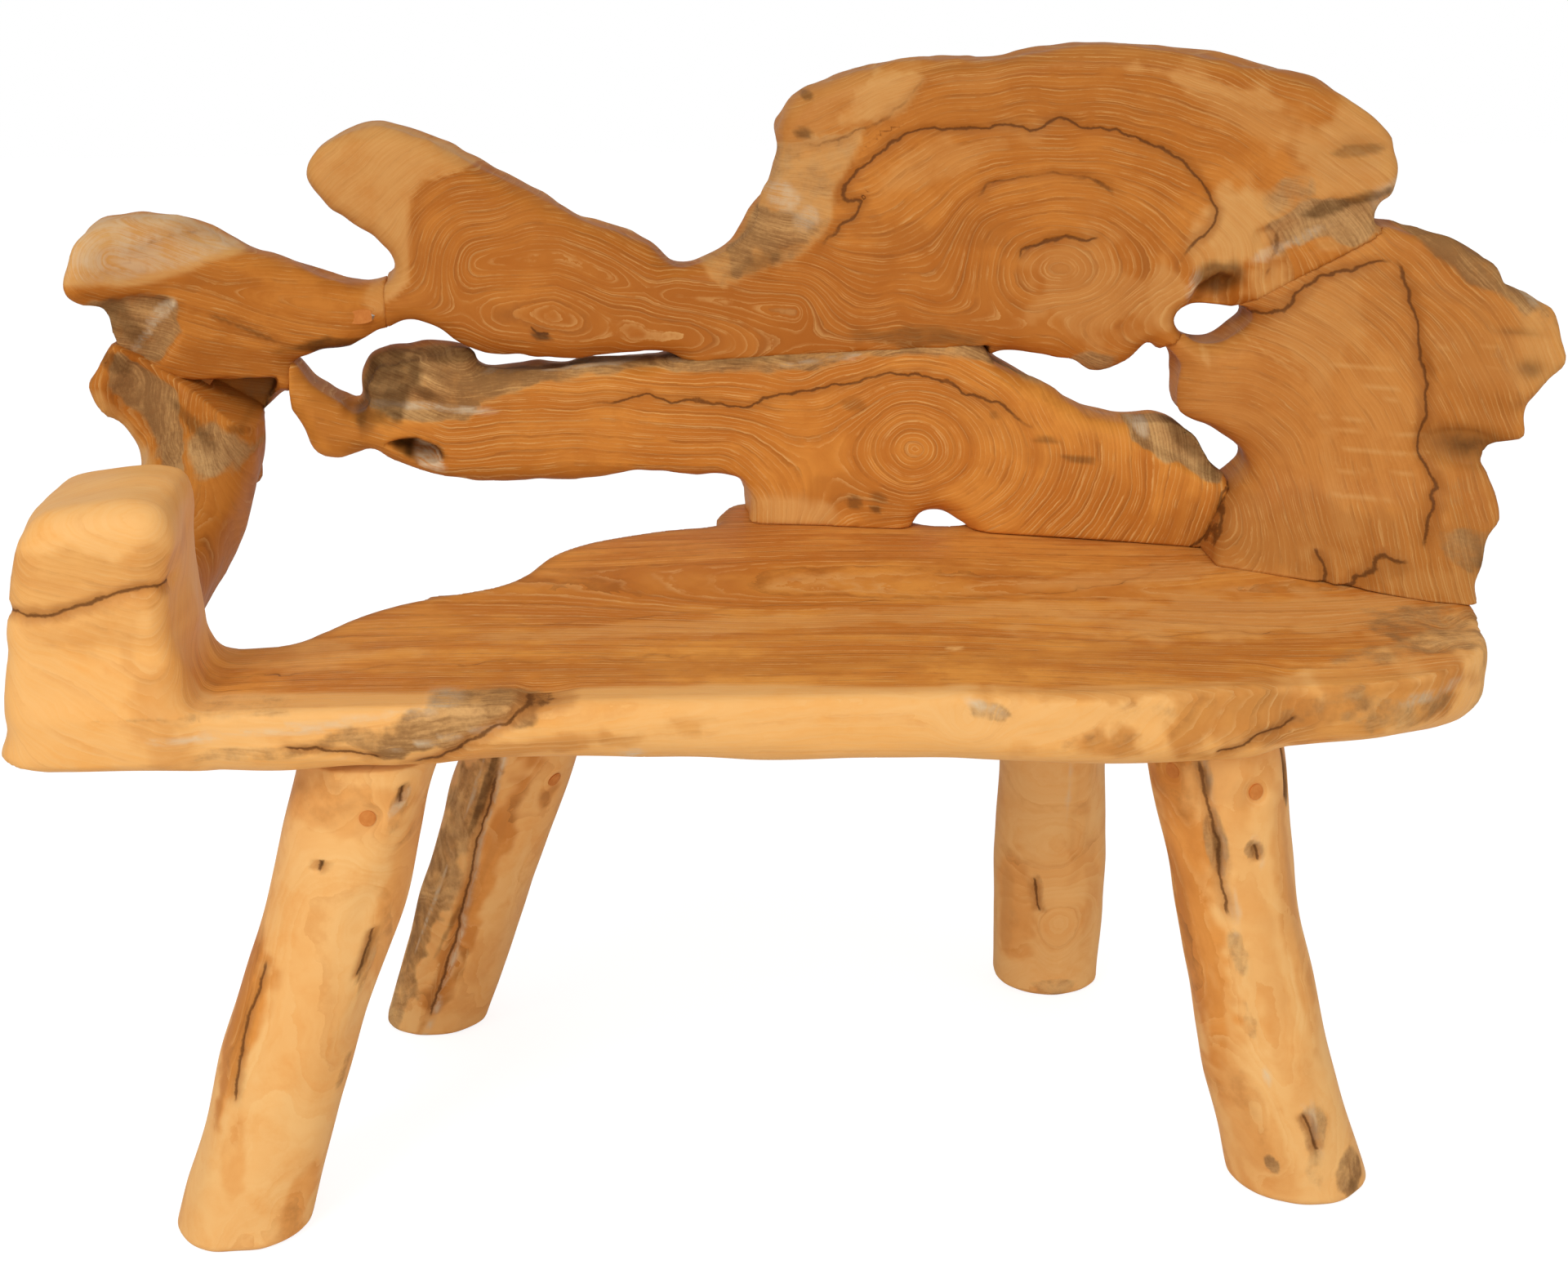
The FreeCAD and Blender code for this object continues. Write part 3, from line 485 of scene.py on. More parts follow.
def oiled_wood(name, light, deep, dark_line, pale, grey, ring_gap=0.0034, line_share=0.4, pale_line=0.42):
    """Sanded and oiled wood: tone bands, fine and coarse pale pore lines and sparser dark lines that
    follow the growth rings, with sapwood, darker and grey weathered wood, drying cracks, dark knots and
    rot, and shade painted dark into hollows, folds and undersides, from the marks of the piece."""
    finish = Finish(name)
    ring, along = finish.mark("ring"), finish.mark("along")
    place = finish.node("TexCoord", {}, {}, "Object")
    cloud = finish.noise(place, 8.0, 3.0)
    mottle = finish.noise(place, 26.0, 5.0, 0.65)
    ripple = finish.noise(place, 60.0, 4.0, 0.6)
    grit = finish.noise(place, 330.0, 3.0, 0.6)
    warped = ring + (ripple - 0.5) * 0.0026 + (cloud - 0.5) * 0.003
    bands = finish.grain(warped * 70.0, along * 5.0, cloud * 2.0, 4.0, 0.6)
    fibres = finish.grain(warped * 850.0, along * 45.0, 0.0, 2.0)
    growth = ring.math("FRACT", warped * (1 / ring_gap))
    wide_growth = ring.math("FRACT", warped * (0.37 / ring_gap) + bands * 0.8)
    season = ring.math("FRACT", warped * (0.29 / ring_gap) + bands * 1.2)
    broken = finish.spread(fibres + ripple + (cloud - 0.5) * 0.8, 0.80, 1.15)
    pores = finish.spread(growth, 0.0, 0.34, 1.0, 0.0) * broken
    coarse = finish.spread(wide_growth, 0.0, 0.16, 1.0, 0.0)
    coarse = coarse * finish.spread(fibres * 0.5 + ripple + cloud, 1.15, 1.45)
    late = finish.spread(season, 0.72, 1.0) * finish.spread(ripple + cloud * 0.6, 0.55, 0.95)
    blotch = finish.spread(bands + (cloud - 0.5) * 1.1, 0.32, 0.70)
    heart = finish.blend(blotch, light, deep)
    heart = finish.blend(finish.spread(mottle, 0.46, 0.70) * 0.55, heart, deep)
    heart = finish.blend(growth * 0.30 + (fibres - 0.5) * 0.6, heart, deep)
    heart = finish.blend(finish.mark("tone") * 0.75, heart, finish.blend(0.35, deep, dark_line))
    heart = finish.blend(late * line_share, heart, dark_line)
    sap = finish.blend(blotch * 0.55, pale, finish.blend(0.55, pale, light))
    sap = finish.blend(finish.spread(mottle, 0.48, 0.72) * 0.4, sap, light)
    sap = finish.blend(growth * 0.16 + (fibres - 0.45) * 0.8, sap, light)
    sap = finish.blend(late * (0.5 * line_share), sap, deep)
    tint = finish.blend(finish.mark("sapwood"), heart, sap)
    tint = finish.blend(pores * pale_line, tint, pale)
    tint = finish.blend(coarse * (1.5 * pale_line), tint, pale)
    worn = finish.mark("worn")
    weather = finish.spread(fibres * 0.7 + bands * 0.9 + (grit - 0.5) * 0.3 + (cloud - 0.5) * 0.8, 0.45, 1.05)
    worn_tint = finish.blend(weather * 0.85, finish.blend(cloud, grey, sap), colour(0.21, 0.095, 0.032))
    tint = finish.blend(finish.spread(worn + (ripple - 0.5) * 0.9, 0.2, 0.8), tint, worn_tint)
    silver = finish.mark("bleached") * finish.spread(ripple + fibres, 0.7, 1.2)
    tint = finish.blend(silver, tint, colour(0.66, 0.52, 0.34))
    gap = finish.mark("crack") + (ripple - 0.5) * 0.006 + (grit - 0.5) * 0.0016
    gap = gap.math("ABSOLUTE", gap)
    opened = finish.mark("crack_open")
    stain = finish.spread(gap + (bands - 0.5) * 0.012, 0.0, 0.010, 1.0, 0.0) * opened
    slit = finish.spread(gap, 0.0004, 0.0019, 1.0, 0.0)
    slit = slit * finish.spread(opened + (mottle - 0.5) * 1.2, 0.3, 0.8)
    tint = finish.blend(stain * 0.62, tint, finish.blend(0.4, dark_line, deep))
    tint = finish.blend(slit * 0.75, tint, colour(0.085, 0.026, 0.006))
    # Darkest brown: real dark knots and rot, and painted shade in hollows, folds and undersides.
    darkening = finish.mark("dark_wood_and_shade") * finish.spread(ripple, 0.25, 0.6, 0.7, 1.0)
    tint = finish.blend(darkening, tint, colour(0.075, 0.030, 0.008))
    height = fibres * 0.2 + pores * -0.3 + grit * (worn * 2.0 + 0.1) + slit * -0.6 + bands * (worn * 3.0)
    bump = finish.node("Bump", {}, {"Strength": 0.4, "Distance": 0.0012, "Height": height})
    sheen = finish.spread(worn * 0.8 + grit * 0.2, 0.0, 1.0, 0.42, 0.92)
    finish.surface({"Base Color": tint, "Roughness": sheen, "Normal": bump, "Specular IOR Level": 0.06})
    return finish.material


amber = colour(0.77, 0.325, 0.062)
russet = colour(0.55, 0.180, 0.027)
honey = colour(0.79, 0.430, 0.150)
umber = colour(0.22, 0.070, 0.014)
driftwood = colour(0.50, 0.300, 0.130)
seat.data.materials.append(oiled_wood("seat wood", amber, russet, umber, honey, driftwood))

# Legs
# Four crooked branch trunks, peeled and sanded round, sawn level at the foot, each pushed over a
# loose tenon under the log and held by a screw under a wooden plug.
leg_lines = {
    "leg_front_left": [
        (-0.3825, -0.405, 0), (-0.352, -0.39, 0.32), (-0.3115, -0.366, 0.68), (-0.283, -0.345, 1),
    ],
    "leg_front_right": [
        (0.3145, -0.405, 0), (0.2855, -0.39, 0.31), (0.2615, -0.37, 0.62), (0.242, -0.345, 1),
    ],
    "leg_rear_left": [(-0.278, 0.162, 0), (-0.251, 0.105, 0.33), (-0.221, 0.04, 0.68), (-0.1945, -0.02, 1)],
    "leg_rear_right": [(0.198, 0.22, 0), (0.193, 0.178, 0.33), (0.188, 0.13, 0.68), (0.184, 0.085, 1)],
}
# Cracks of each leg: the turn in degrees from straight ahead and the height as a share, from end to end.
leg_cracks = {
    "leg_front_left": [
        [(45, 0.68), (43, 0.62), (41, 0.56)], [(31, 0.97), (33, 0.93)], [(-20, 0.825), (-22, 0.8)],
        [(-52, 0.62), (-50, 0.5), (-46, 0.38), (-40, 0.3)],
    ],
    "leg_front_right": [
        [(-25, 0.99), (-22, 0.88), (-20, 0.8), (-18, 0.7), (-16, 0.62)], [(58, 0.99), (62, 0.86)],
        [(10, 0.8), (13, 0.76)], [(10, 0.22), (14, 0.12)],
    ],
    "leg_rear_left": [[(-26, 1), (-23, 0.72), (-12, 0.42), (-14, 0)]],
    "leg_rear_right": [[(-30, 0.44), (-25, 0.37), (-20, 0.3)]],
}
# Stains of each leg as ovals: turn in degrees, height as a share, half width in degrees, half height as a
# share, tilt in degrees and strength. Heart shows orange wood, worn grey wood, tone brown wood, and pits
# painted dark, holes drawn only in colour with their shade painted in.
leg_heart = {
    "leg_front_left": [
        (-58, 0.47, 24, 0.17, 6, 1), (62, 0.75, 22, 0.2, 0, 0.6), (48, 0.08, 22, 0.07, 0, 0.7),
        (-10, 0.93, 60, 0.05, 0, 0.5), (-25, 0.22, 12, 0.1, 10, 0.5),
    ],
    "leg_front_right": [
        (-62, 0.62, 34, 0.36, 0, 0.95), (-50, 0.25, 30, 0.22, 0, 0.5), (10, 0.5, 16, 0.4, 5, 0.3),
        (-28, 0.12, 18, 0.12, 0, 0.4), (45, 0.62, 16, 0.3, 0, 0.55), (-10, 0.93, 50, 0.06, 0, 0.45),
    ],
    "leg_rear_left": [
        (-4, 0.5, 15, 0.65, -3, 0.85), (40, 0.82, 12, 0.05, 0, 0.7), (30, 0.3, 16, 0.16, 0, 0.3),
    ],
    "leg_rear_right": [
        (-52, 0.3, 22, 0.18, 0, 0.6), (-30, 0.95, 14, 0.03, 30, 0.7), (20, 0.7, 14, 0.26, 0, 0.25),
        (40, 0.3, 12, 0.25, 0, 0.25),
    ],
}
leg_worn = {
    "leg_front_left": [
        (62, 0.36, 10, 0.05, 0, 0.45), (33, 0.93, 8, 0.05, 0, 0.45), (49, 0.58, 6, 0.07, 0, 0.5),
    ],
    "leg_front_right": [
        (-21, 0.8, 8, 0.07, 0, 0.75), (-24, 0.94, 7, 0.05, 0, 0.5), (-15, 0.57, 8, 0.05, 0, 0.55),
        (-18, 0.42, 5, 0.04, 0, 0.4), (11, 0.785, 7, 0.016, 0, 0.7), (16, 0.16, 12, 0.09, -12, 0.6),
        (-28, 0.1, 6, 0.02, 0, 0.7), (42, 0.05, 16, 0.05, 0, 0.7), (62, 0.93, 6, 0.07, 0, 0.7),
    ],
    "leg_rear_left": [(-58, 0.5, 30, 0.9, -3, 0.62)],
    "leg_rear_right": [
        (0, 0.04, 40, 0.03, 0, 0.45), (10, 0.93, 20, 0.05, 0, 0.35), (-24, 0.4, 6, 0.06, 0, 0.4),
    ],
}
leg_tone = {
    "leg_front_left": [
        (-66, 0.47, 10, 0.17, 6, 0.8), (10, 0.88, 8, 0.02, 0, 0.45), (-8, 0.67, 3, 0.015, 0, 0.4),
    ],
    "leg_front_right": [
        (4, 0.905, 8, 0.026, 0, 0.8), (-33, 0.305, 4, 0.011, 0, 0.9), (50, 0.7, 5, 0.22, 0, 0.5),
        (-10, 0.29, 3, 0.012, 0, 0.5), (-70, 0.66, 8, 0.1, 0, 0.6), (30, 0.32, 20, 0.03, 0, 0.4),
    ],
    "leg_rear_left": [
        (42, 0.82, 9, 0.035, 0, 0.9), (52, 0.58, 8, 0.05, 0, 0.9), (-7, 0.5, 5, 0.55, -4, 0.5),
    ],
    "leg_rear_right": [
        (-60, 0.28, 8, 0.12, 0, 0.6), (-36, 0.95, 6, 0.02, 30, 0.8), (-12, 0.6, 3, 0.2, 0, 0.5),
        (14, 0.55, 2, 0.3, 0, 0.5), (30, 0.72, 3, 0.2, 0, 0.5),
    ],
}
leg_bleached = {
    "leg_front_left": [(33, 0.93, 12, 0.01, 60, 0.4)],
    "leg_front_right": [
        (-13, 0.3, 3, 0.02, 0, 0.6), (18, 0.2, 3, 0.05, -10, 0.5), (-10, 0.66, 2, 0.04, 0, 0.5),
    ],
    "leg_rear_left": [(-50, 0.45, 2, 0.12, -3, 0.6), (-44, 0.85, 2, 0.1, -3, 0.6)],
    "leg_rear_right": [(5, 0.75, 3, 0.1, 0, 0.4)],
}
leg_pits = {
    "leg_front_left": [
        (-20, 0.815, 2, 0.008, 0, 0.9), (44, 0.61, 2.5, 0.05, -6, 0.6), (31, 0.955, 2.5, 0.018, 0, 0.6),
    ],
    "leg_front_right": [
        (-20, 0.79, 2.5, 0.04, 0, 0.6), (-22, 0.92, 2, 0.03, 0, 0.5), (11, 0.785, 3, 0.008, 0, 0.4),
        (44, 0.03, 6, 0.015, 0, 0.5), (62, 0.93, 4, 0.06, 0, 0.7), (14, 0.15, 2, 0.05, -10, 0.3),
    ],
    "leg_rear_left": [(-31, 0.86, 4, 0.12, -2, 0.7), (-20, 0.4, 3, 0.1, -8, 0.5)],
    "leg_rear_right": [],
}
front_leg_radius, rear_leg_radius = 0.0515, 0.0485
# Flat places round the screw plugs: turn in degrees and depth under the shoulder.
leg_plug_spots = {
    "leg_front_left": [(10, 0.036)],
    "leg_front_right": [(-54, 0.027), (19, 0.0378)],
    "leg_rear_left": [(42, 0.036)],
    "leg_rear_right": [(-48, 0.036)],
}
# Strength of the bleached fringe along the cracks of a leg.
leg_fringe = {"leg_rear_left": 0.9, "leg_front_right": 0.3}
around_count, along_count = 144, 150
leg_skin_radius = 0.05
leg_waist = 0.0015
leg_crack_depth, leg_crack_width = 0.0022, 0.003
foot_chamfer, foot_chamfer_height = 0.005, 0.006
plug_recess, plug_reach = 0.0012, 0.010
fringe_place, fringe_width = 0.0035, 0.0025


def tube_faces(rings, sides):
    """Quads between neighbouring rings, with a fan from a middle point over each end."""
    start = np.arange(rings - 1)[:, None] * sides + np.arange(sides)[None, :]
    turn = np.arange(rings - 1)[:, None] * sides + (np.arange(sides)[None, :] + 1) % sides
    walls = np.stack([start, turn, turn + sides, start + sides], -1).reshape(-1, 4)
    side = np.arange(sides)
    first = np.stack([np.full(sides, rings * sides), (side + 1) % sides, side], 1)
    top = (rings - 1) * sides
    last = np.stack([np.full(sides, rings * sides + 1), top + side, top + (side + 1) % sides], 1)
    return walls.tolist() + first.tolist() + last.tolist()


def blurred(values, reach):
    """Values smoothed over a reach of neighbours, going on straight past both ends."""
    window = np.hanning(2 * reach + 1) / np.hanning(2 * reach + 1).sum()
    before, after = 2 * values[0] - values[reach:0:-1], 2 * values[-1] - values[-2:-reach - 2:-1]
    return np.convolve(np.concatenate([before, values, after]), window, "valid")


def leg_surface(name, seed):
    """Round trunk along a bent line: the radius swells with noise over turn and height, is even round the
    plugs, and shrinks to a chamfer in the last millimetres over the foot."""
    line = np.array(leg_lines[name])
    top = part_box(name)[1][2]
    rise = np.linspace(0, 1, along_count)[:, None]
    turn = np.linspace(0, 2 * math.pi, around_count, endpoint=False)[None, :]
    centre_x, centre_y = (blurred(np.interp(rise[:, 0], line[:, 2], line[:, axis]), 15)[:, None]
                          for axis in (0, 1))
    skin_x, skin_y = leg_skin_radius * np.sin(turn), -leg_skin_radius * np.cos(turn)
    spots = np.stack(np.broadcast_arrays(skin_x, skin_y, rise * top), -1).reshape(-1, 3)
    lumps = 0.0046 * noise(spots, (0.07, 0.07, 0.085), seed)
    lumps = lumps + 0.0016 * noise(spots, (0.022, 0.022, 0.045), seed + 1)
    lumps = lumps.reshape(along_count, around_count)
    for angle, depth in leg_plug_spots[name]:
        away = on_skin(turn - math.radians(angle)) ** 2 + ((rise - 1) * top + depth) ** 2
        near = np.exp(-(away / plug_reach ** 2) ** 2)
        lumps = lumps * (1 - near) - plug_recess * near
    cracks, opened = crack_marks(name, turn, rise, top, seed)
    chamfer = foot_chamfer * np.clip(1 - rise * top / foot_chamfer_height, 0, 1) ** 2
    waist = leg_waist * np.sin(math.pi * rise)
    radius = (front_leg_radius if "front" in name else rear_leg_radius) + lumps - waist - chamfer
    radius = radius - leg_crack_depth * opened * np.exp(-(cracks / leg_crack_width) ** 2)
    x = centre_x * bench_length + radius * np.sin(turn)
    y = centre_y * bench_depth - radius * np.cos(turn)
    z = np.broadcast_to(rise * top, x.shape)
    ends = np.array([[x[i].mean(), y[i].mean(), z[i, 0]] for i in (0, -1)])
    points = np.concatenate([np.stack([x, y, z], -1).reshape(-1, 3), ends])
    wander = 0.010 * noise(spots * (0, 0, 1), 0.09, seed + 2).reshape(radius.shape) * np.sin(turn - seed)
    ring = radius * 1.6 + wander + 0.004 * noise(spots, (0.05, 0.05, 0.16), seed + 3).reshape(radius.shape)
    return points, turn, rise, ring, cracks, opened


def on_skin(turn):
    """Distance round a leg's skin from straight ahead."""
    return ((turn + math.pi) % (2 * math.pi) - math.pi) * leg_skin_radius


def crack_marks(name, turn, rise, top, seed):
    """Distance to the leg's cracks measured on its skin, and how open they are."""
    turn, rise = np.broadcast_arrays(turn, rise)
    paths = [[(1000 * on_skin(math.radians(angle)), 1000 * share * top) for angle, share in path]
             for path in leg_cracks[name]]
    gap, opened = nearest_crack(on_skin(turn).ravel(), rise.ravel() * top, paths, seed + 5, 0.003)
    return gap.reshape(turn.shape), opened.reshape(turn.shape)


def leg_stain(table, turn, rise, top, seed):
    """Strength of a leg's ovals of one kind over its skin."""
    turn, rise = np.broadcast_arrays(turn, rise)
    degree, length = 1000 * on_skin(math.radians(1)), 1000 * top
    ovals = [(angle * degree, share * length, half_angle * degree, half_share * length, tilt, strength)
             for angle, share, half_angle, half_share, tilt, strength in table]
    return patches(on_skin(turn).ravel(), rise.ravel() * top, ovals, seed, 0.45).reshape(turn.shape)


leg_wood = oiled_wood("leg wood", colour(0.72, 0.290, 0.060), colour(0.54, 0.190, 0.034),
                      colour(0.26, 0.098, 0.024), colour(0.80, 0.455, 0.165), colour(0.44, 0.265, 0.120),
                      0.0040, 0.6, 0.3)
for seed, name in enumerate(leg_lines):
    points, turn, rise, ring, cracks, opened = leg_surface(name, 40 + 7 * seed)
    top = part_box(name)[1][2]
    heart, worn, tone, bleached, pits = (leg_stain(table[name], turn, rise, top, 140 + 9 * seed)
                                         for table in (leg_heart, leg_worn, leg_tone, leg_bleached, leg_pits))
    fringe = leg_fringe.get(name, 0) * np.exp(-((cracks - fringe_place) / fringe_width) ** 2)
    bleached = np.maximum(bleached, fringe)
    marks = {"ring": ring, "along": np.broadcast_to(rise, ring.shape) * top, "sapwood": 1 - heart,
             "worn": worn, "tone": tone, "bleached": bleached, "crack": cracks, "crack_open": opened,
             "dark_wood_and_shade": pits}
    marks = {mark: np.append(values, [values[0, 0], values[-1, -1]]) for mark, values in marks.items()}
    leg = add_piece(name + "_carved", points, tube_faces(along_count, around_count), marks)
    leg.data.materials.append(leg_wood)
    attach(leg, "root")
    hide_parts(name)

# Plugs, screws and tongues of the joints
# Wooden plugs sanded flush over the screws, and the hidden screws, tenons and tongues that hold the
# pieces together.
plain = Finish("plug wood")
plug_grain = plain.noise(plain.node("TexCoord", {}, {}, "Object"), 220.0, 3.0)
plug_tint = plain.blend(plug_grain, colour(0.46, 0.130, 0.022), colour(0.64, 0.250, 0.060))
plain.surface({"Base Color": plug_tint, "Roughness": 0.5, "Specular IOR Level": 0.06})
steel = Finish("zinc steel")
scratches = steel.noise(steel.node("TexCoord", {}, {}, "Object"), 400.0, 2.0)
steel_rough = steel.spread(scratches, 0.0, 1.0, 0.3, 0.5)
steel.surface({"Base Color": colour(0.60, 0.58, 0.52), "Metallic": 1.0, "Roughness": steel_rough})
steel_names = ("leg_screws", "horn_screw")
wooden_words = ("tongue", "tenon", "plug")
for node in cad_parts:
    if node in steel_names or any(word in node for word in wooden_words):
        finish = steel if node in steel_names else plain
        for slot in bpy.data.objects[node].material_slots:
            slot.material = finish.material

# Back slabs
# Slabs sawn from a great root: a rail that stands on the seat, a crest over it, an end-grain disc at
# one end and a horn over the arm. They follow a bend round the sitter and lean back a little.
back_thickness = 0.071
back_radius = 1.600
wing_radius = 0.380
back_centre = np.array([-0.240, -1.430])
wing_start = -0.354
lean_slope = math.tan(math.radians(6.0))
back_cell = 0.0031
# Depths between which the marks, and the carving, of the front die out.
front_band = (0.055, 0.035)
front_fade = (0.06, 0.0)
seam_proud = 0.0008
crest_outline = [
    (190, 764), (208, 767), (212.5, 785), (200, 812), (170, 839), (154, 872), (167, 901), (203, 919.5),
    (243, 905), (300, 863), (350, 826), (393, 804), (418, 779), (455, 793), (472, 822), (491, 880),
    (491, 918), (515, 953), (568, 977), (632, 982), (700, 999), (752, 997), (800, 987), (856, 968),
    (889, 936), (899, 892), (893, 845), (905, 810), (850, 740), (790, 700), (757, 710), (746.5, 716),
    (733, 697), (711, 684), (696, 695), (672, 699), (645, 699), (620, 675), (520, 665), (430, 665),
    (415, 690), (361, 692), (334, 687), (290, 693), (262, 702), (243, 716), (224, 726), (202, 718),
    (190, 716),
]
horn_outline = [
    (225, 767), (208, 766), (188, 762), (146, 783), (105, 807), (66, 838), (34, 846), (12, 834), (3, 805),
    (2, 785), (9, 771), (20, 762), (25, 748), (29, 728), (34, 690), (80, 640), (105, 628), (118, 643),
    (127, 655), (138, 656), (155, 650), (152, 670), (140, 692), (158, 698), (180, 701), (200, 717),
    (225, 722),
]
post_head_outline = [
    (36, 738), (14, 704), (12.5, 686), (28.3, 652), (38.3, 633), (44.2, 614), (50, 590), (100, 560),
    (110, 592), (114, 635), (118, 655), (110, 690), (75, 740),
]
rail_outline = [
    (120, 692), (138, 690), (150, 667), (168, 648), (181, 643), (184, 670), (195, 691), (232, 697),
    (262, 691), (274, 670), (327, 670), (352, 678), (408, 681.5), (435, 715), (520, 725), (610, 730),
    (635, 705), (648, 683), (674, 666), (693, 651), (715, 637), (740, 632.5), (763, 636), (779, 624),
    (788, 604), (800, 585), (813, 578), (818, 555), (800, 490), (700, 465), (560, 465), (462, 470),
    (466, 520), (463, 546), (448, 561), (390, 564), (331, 562), (271, 563), (235, 568), (207, 585),
    (190, 599), (168, 593), (153, 600), (143, 628), (134, 648), (120, 655),
]
disc_outline = [
    (880, 870), (891.5, 844), (910, 840), (932, 837), (952, 819), (964, 793), (976, 784), (992, 779),
    (998.5, 757), (999.5, 735), (990, 712), (982, 690), (983, 656), (974, 640), (967, 622), (971, 600),
    (970, 578), (957, 550), (944, 520), (932, 480), (880, 465), (760, 465), (745, 490), (775, 560),
    (803, 578), (818, 597), (813, 617), (797, 632), (777, 643), (769, 656), (770, 680), (771, 697),
    (759, 715), (735, 725), (745, 745),
]
upper_hole_outline = [
    (765, 739), (769, 727), (780, 717.5), (795, 718.5), (807, 729), (816, 745), (808, 757), (787, 758),
    (770, 751),
]
seat_gap_outline = [(586, 500), (589, 526), (603, 536), (618, 529), (634, 500)]
# Glue seams as lines of the front view, and how far a cut beside one reaches.
seam_reach = 150
crest_rail_seam = ((410, 683), (640, 708))
crest_disc_seam = ((730, 688.2), (910, 853.5))
rail_disc_seam = ((805, 590), (770, 465))
horn_crest_seam = ((206.5, 640), (206.5, 776))
horn_rail_seam = ((137.5, 620), (137.5, 691.5))
post_horn_seam = ((5, 751), (130, 625))


def bend_front(across):
    """Front of the back at seat height: a wide arc, and a tighter one for the horn."""
    turn = math.acos((wing_start - back_centre[0]) / back_radius)
    wing_centre = back_centre + np.array([math.cos(turn), math.sin(turn)]) * (back_radius - wing_radius)
    wide = back_centre[1] + np.sqrt(np.maximum(back_radius ** 2 - (across - back_centre[0]) ** 2, 0))
    tight = wing_centre[1] + np.sqrt(np.maximum(wing_radius ** 2 - (across - wing_centre[0]) ** 2, 0))
    return np.where(across >= wing_start, wide, tight)


def stand(points, sweep=0.0):
    """Bent and leaning place of slab points given as across, depth behind the front face, and up."""
    across, depth, up = points.T
    return np.stack([across, bend_front(across) + lean_slope * (up - seat_height) + depth - sweep, up], 1)


def seam_block(seam, across, up):
    """Outline of all that is cut away beside a seam: the seam line, carried across and up."""
    first, last = np.array(seam)
    return front_view([first, last, last + (across, up), first + (across, up)])


def slab_form(outline, rounding, holes=(), hollows=()):
    """Distance of a slab: its outline and its two faces meeting in a rounded edge, less the holes, its
    front sunk inside each hollow's outline to the hollow's depth."""
    curve = flowing(front_view(outline))
    hole_curves = [flowing(front_view(hole)) for hole in holes]

    def form(across, depth, up):
        flat_across, flat_up = across[:, 0, :], up[:, 0, :]
        edge = outline_distance(flat_across, flat_up, curve)
        for hole in hole_curves:
            edge = round_meet(edge, -outline_distance(flat_across, flat_up, hole), 0.004)
        wall = np.abs(depth - back_thickness / 2) - back_thickness / 2
        field = round_meet(edge[:, None, :], wall, rounding)
        for hollow, deep in hollows:
            within = step_up(-outline_distance(flat_across, flat_up, np.array(hollow) / 1000), -0.002, 0.008)
            field = np.maximum(field, deep * within[:, None, :] - depth)
        return field

    return form


def slab_cuts(seams, floor=-1.0):
    """Joint faces of a slab, a hair proud of the middle of each seam, and the level it stands on."""
    blocks = [seam_block(*seam) for seam in seams]

    def cuts(across, depth, up):
        field = np.broadcast_to(floor - up, np.broadcast_shapes(across.shape, up.shape))
        for block in blocks:
            beside = -outline_distance(across[:, 0, :], up[:, 0, :], block)[:, None, :]
            field = np.maximum(field, beside - seam_proud)
        return field

    return cuts


def slab_points(node, form, relief, cuts):
    """Points and quads of a slab in its flat coordinates, within the node's reach across and up."""
    low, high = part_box(node)
    return carve((low[0], 0.0, low[2]), (high[0], back_thickness, high[2]), back_cell, form, relief, cuts)


def gnarled(spots, seed, front=0.0022, edge=0.0035):
    """Waves of a sanded root: slow on the front, with short ripples on the live edges and at the back."""
    across, depth, up = spots.T
    facing = step_up(depth, 0.012, 0.003)
    slow = front * noise(spots, (0.11, 0.08, 0.07), seed)
    rough = edge * noise(spots, (0.045, 0.030, 0.035), seed + 1) + 0.4 * edge * noise(spots, 0.014, seed + 2)
    return slow + rough * (1 - 0.85 * facing)


def swirled(away, points, seed, slow=0.009, quick=0.0035):
    """Distance to the heart of some growth rings, wound by noise and blunted beside the heart."""
    return np.hypot(away, 0.008) + slow * noise(points, 0.10, seed) + quick * noise(points, 0.032, seed + 1)


slab_wood = oiled_wood("root wood", colour(0.55, 0.200, 0.032), colour(0.41, 0.125, 0.015), umber,
                       colour(0.62, 0.330, 0.105), driftwood)
burl_wood = oiled_wood("burl wood", colour(0.67, 0.265, 0.044), colour(0.50, 0.165, 0.022), umber,
                       colour(0.76, 0.440, 0.150), driftwood)

# Middle rail
# Root that stands on the seat behind the sitter: burl with close contour lines, a rotted and darkened
# end on the left with a hollow, and a weathered strip along its top. The hollow, and the inner facet of
# the broken recess at the right end, have their shade painted dark.
rail_cuts = [(crest_rail_seam, 0, seam_reach), (rail_disc_seam, seam_reach, 0),
             (horn_rail_seam, -seam_reach, 0)]
rail_hollow = [
    (-358, 515), (-343, 518), (-328, 518), (-313, 511), (-307, 502), (-312, 496), (-328, 498), (-343, 507),
]
rail_break = [(281, 548), (293, 552), (316, 554), (328, 546), (364, 500), (346, 495), (285, 525)]
rail_form = slab_form(rail_outline, 0.016, [seat_gap_outline], [(rail_hollow, 0.034), (rail_break, 0.016)])
rail_cracks = [
    [(-210, 548), (-154, 547), (-119, 552), (-85, 550), (-40, 545), (-5, 553), (30, 565), (70, 572),
     (114, 571), (135, 565), (165, 553), (188, 542), (230, 520)],
    [(370, 500), (357, 486), (351, 462), (338, 444), (328, 425)],
]


def rail_relief(spots):
    """Gnarled skin with rotted ridges at the left end."""
    across, depth, up = spots.T
    front = step_up(depth, *front_fade)
    rot = step_up(-across, 0.275, 0.315) * step_up(up, 0.530, 0.545) * step_up(across, -0.395, -0.380)
    ridges = (0.006 * noise(spots, (0.07, 0.03, 0.010), 63) + 0.012) * rot
    return gnarled(spots, 60) + ridges * front


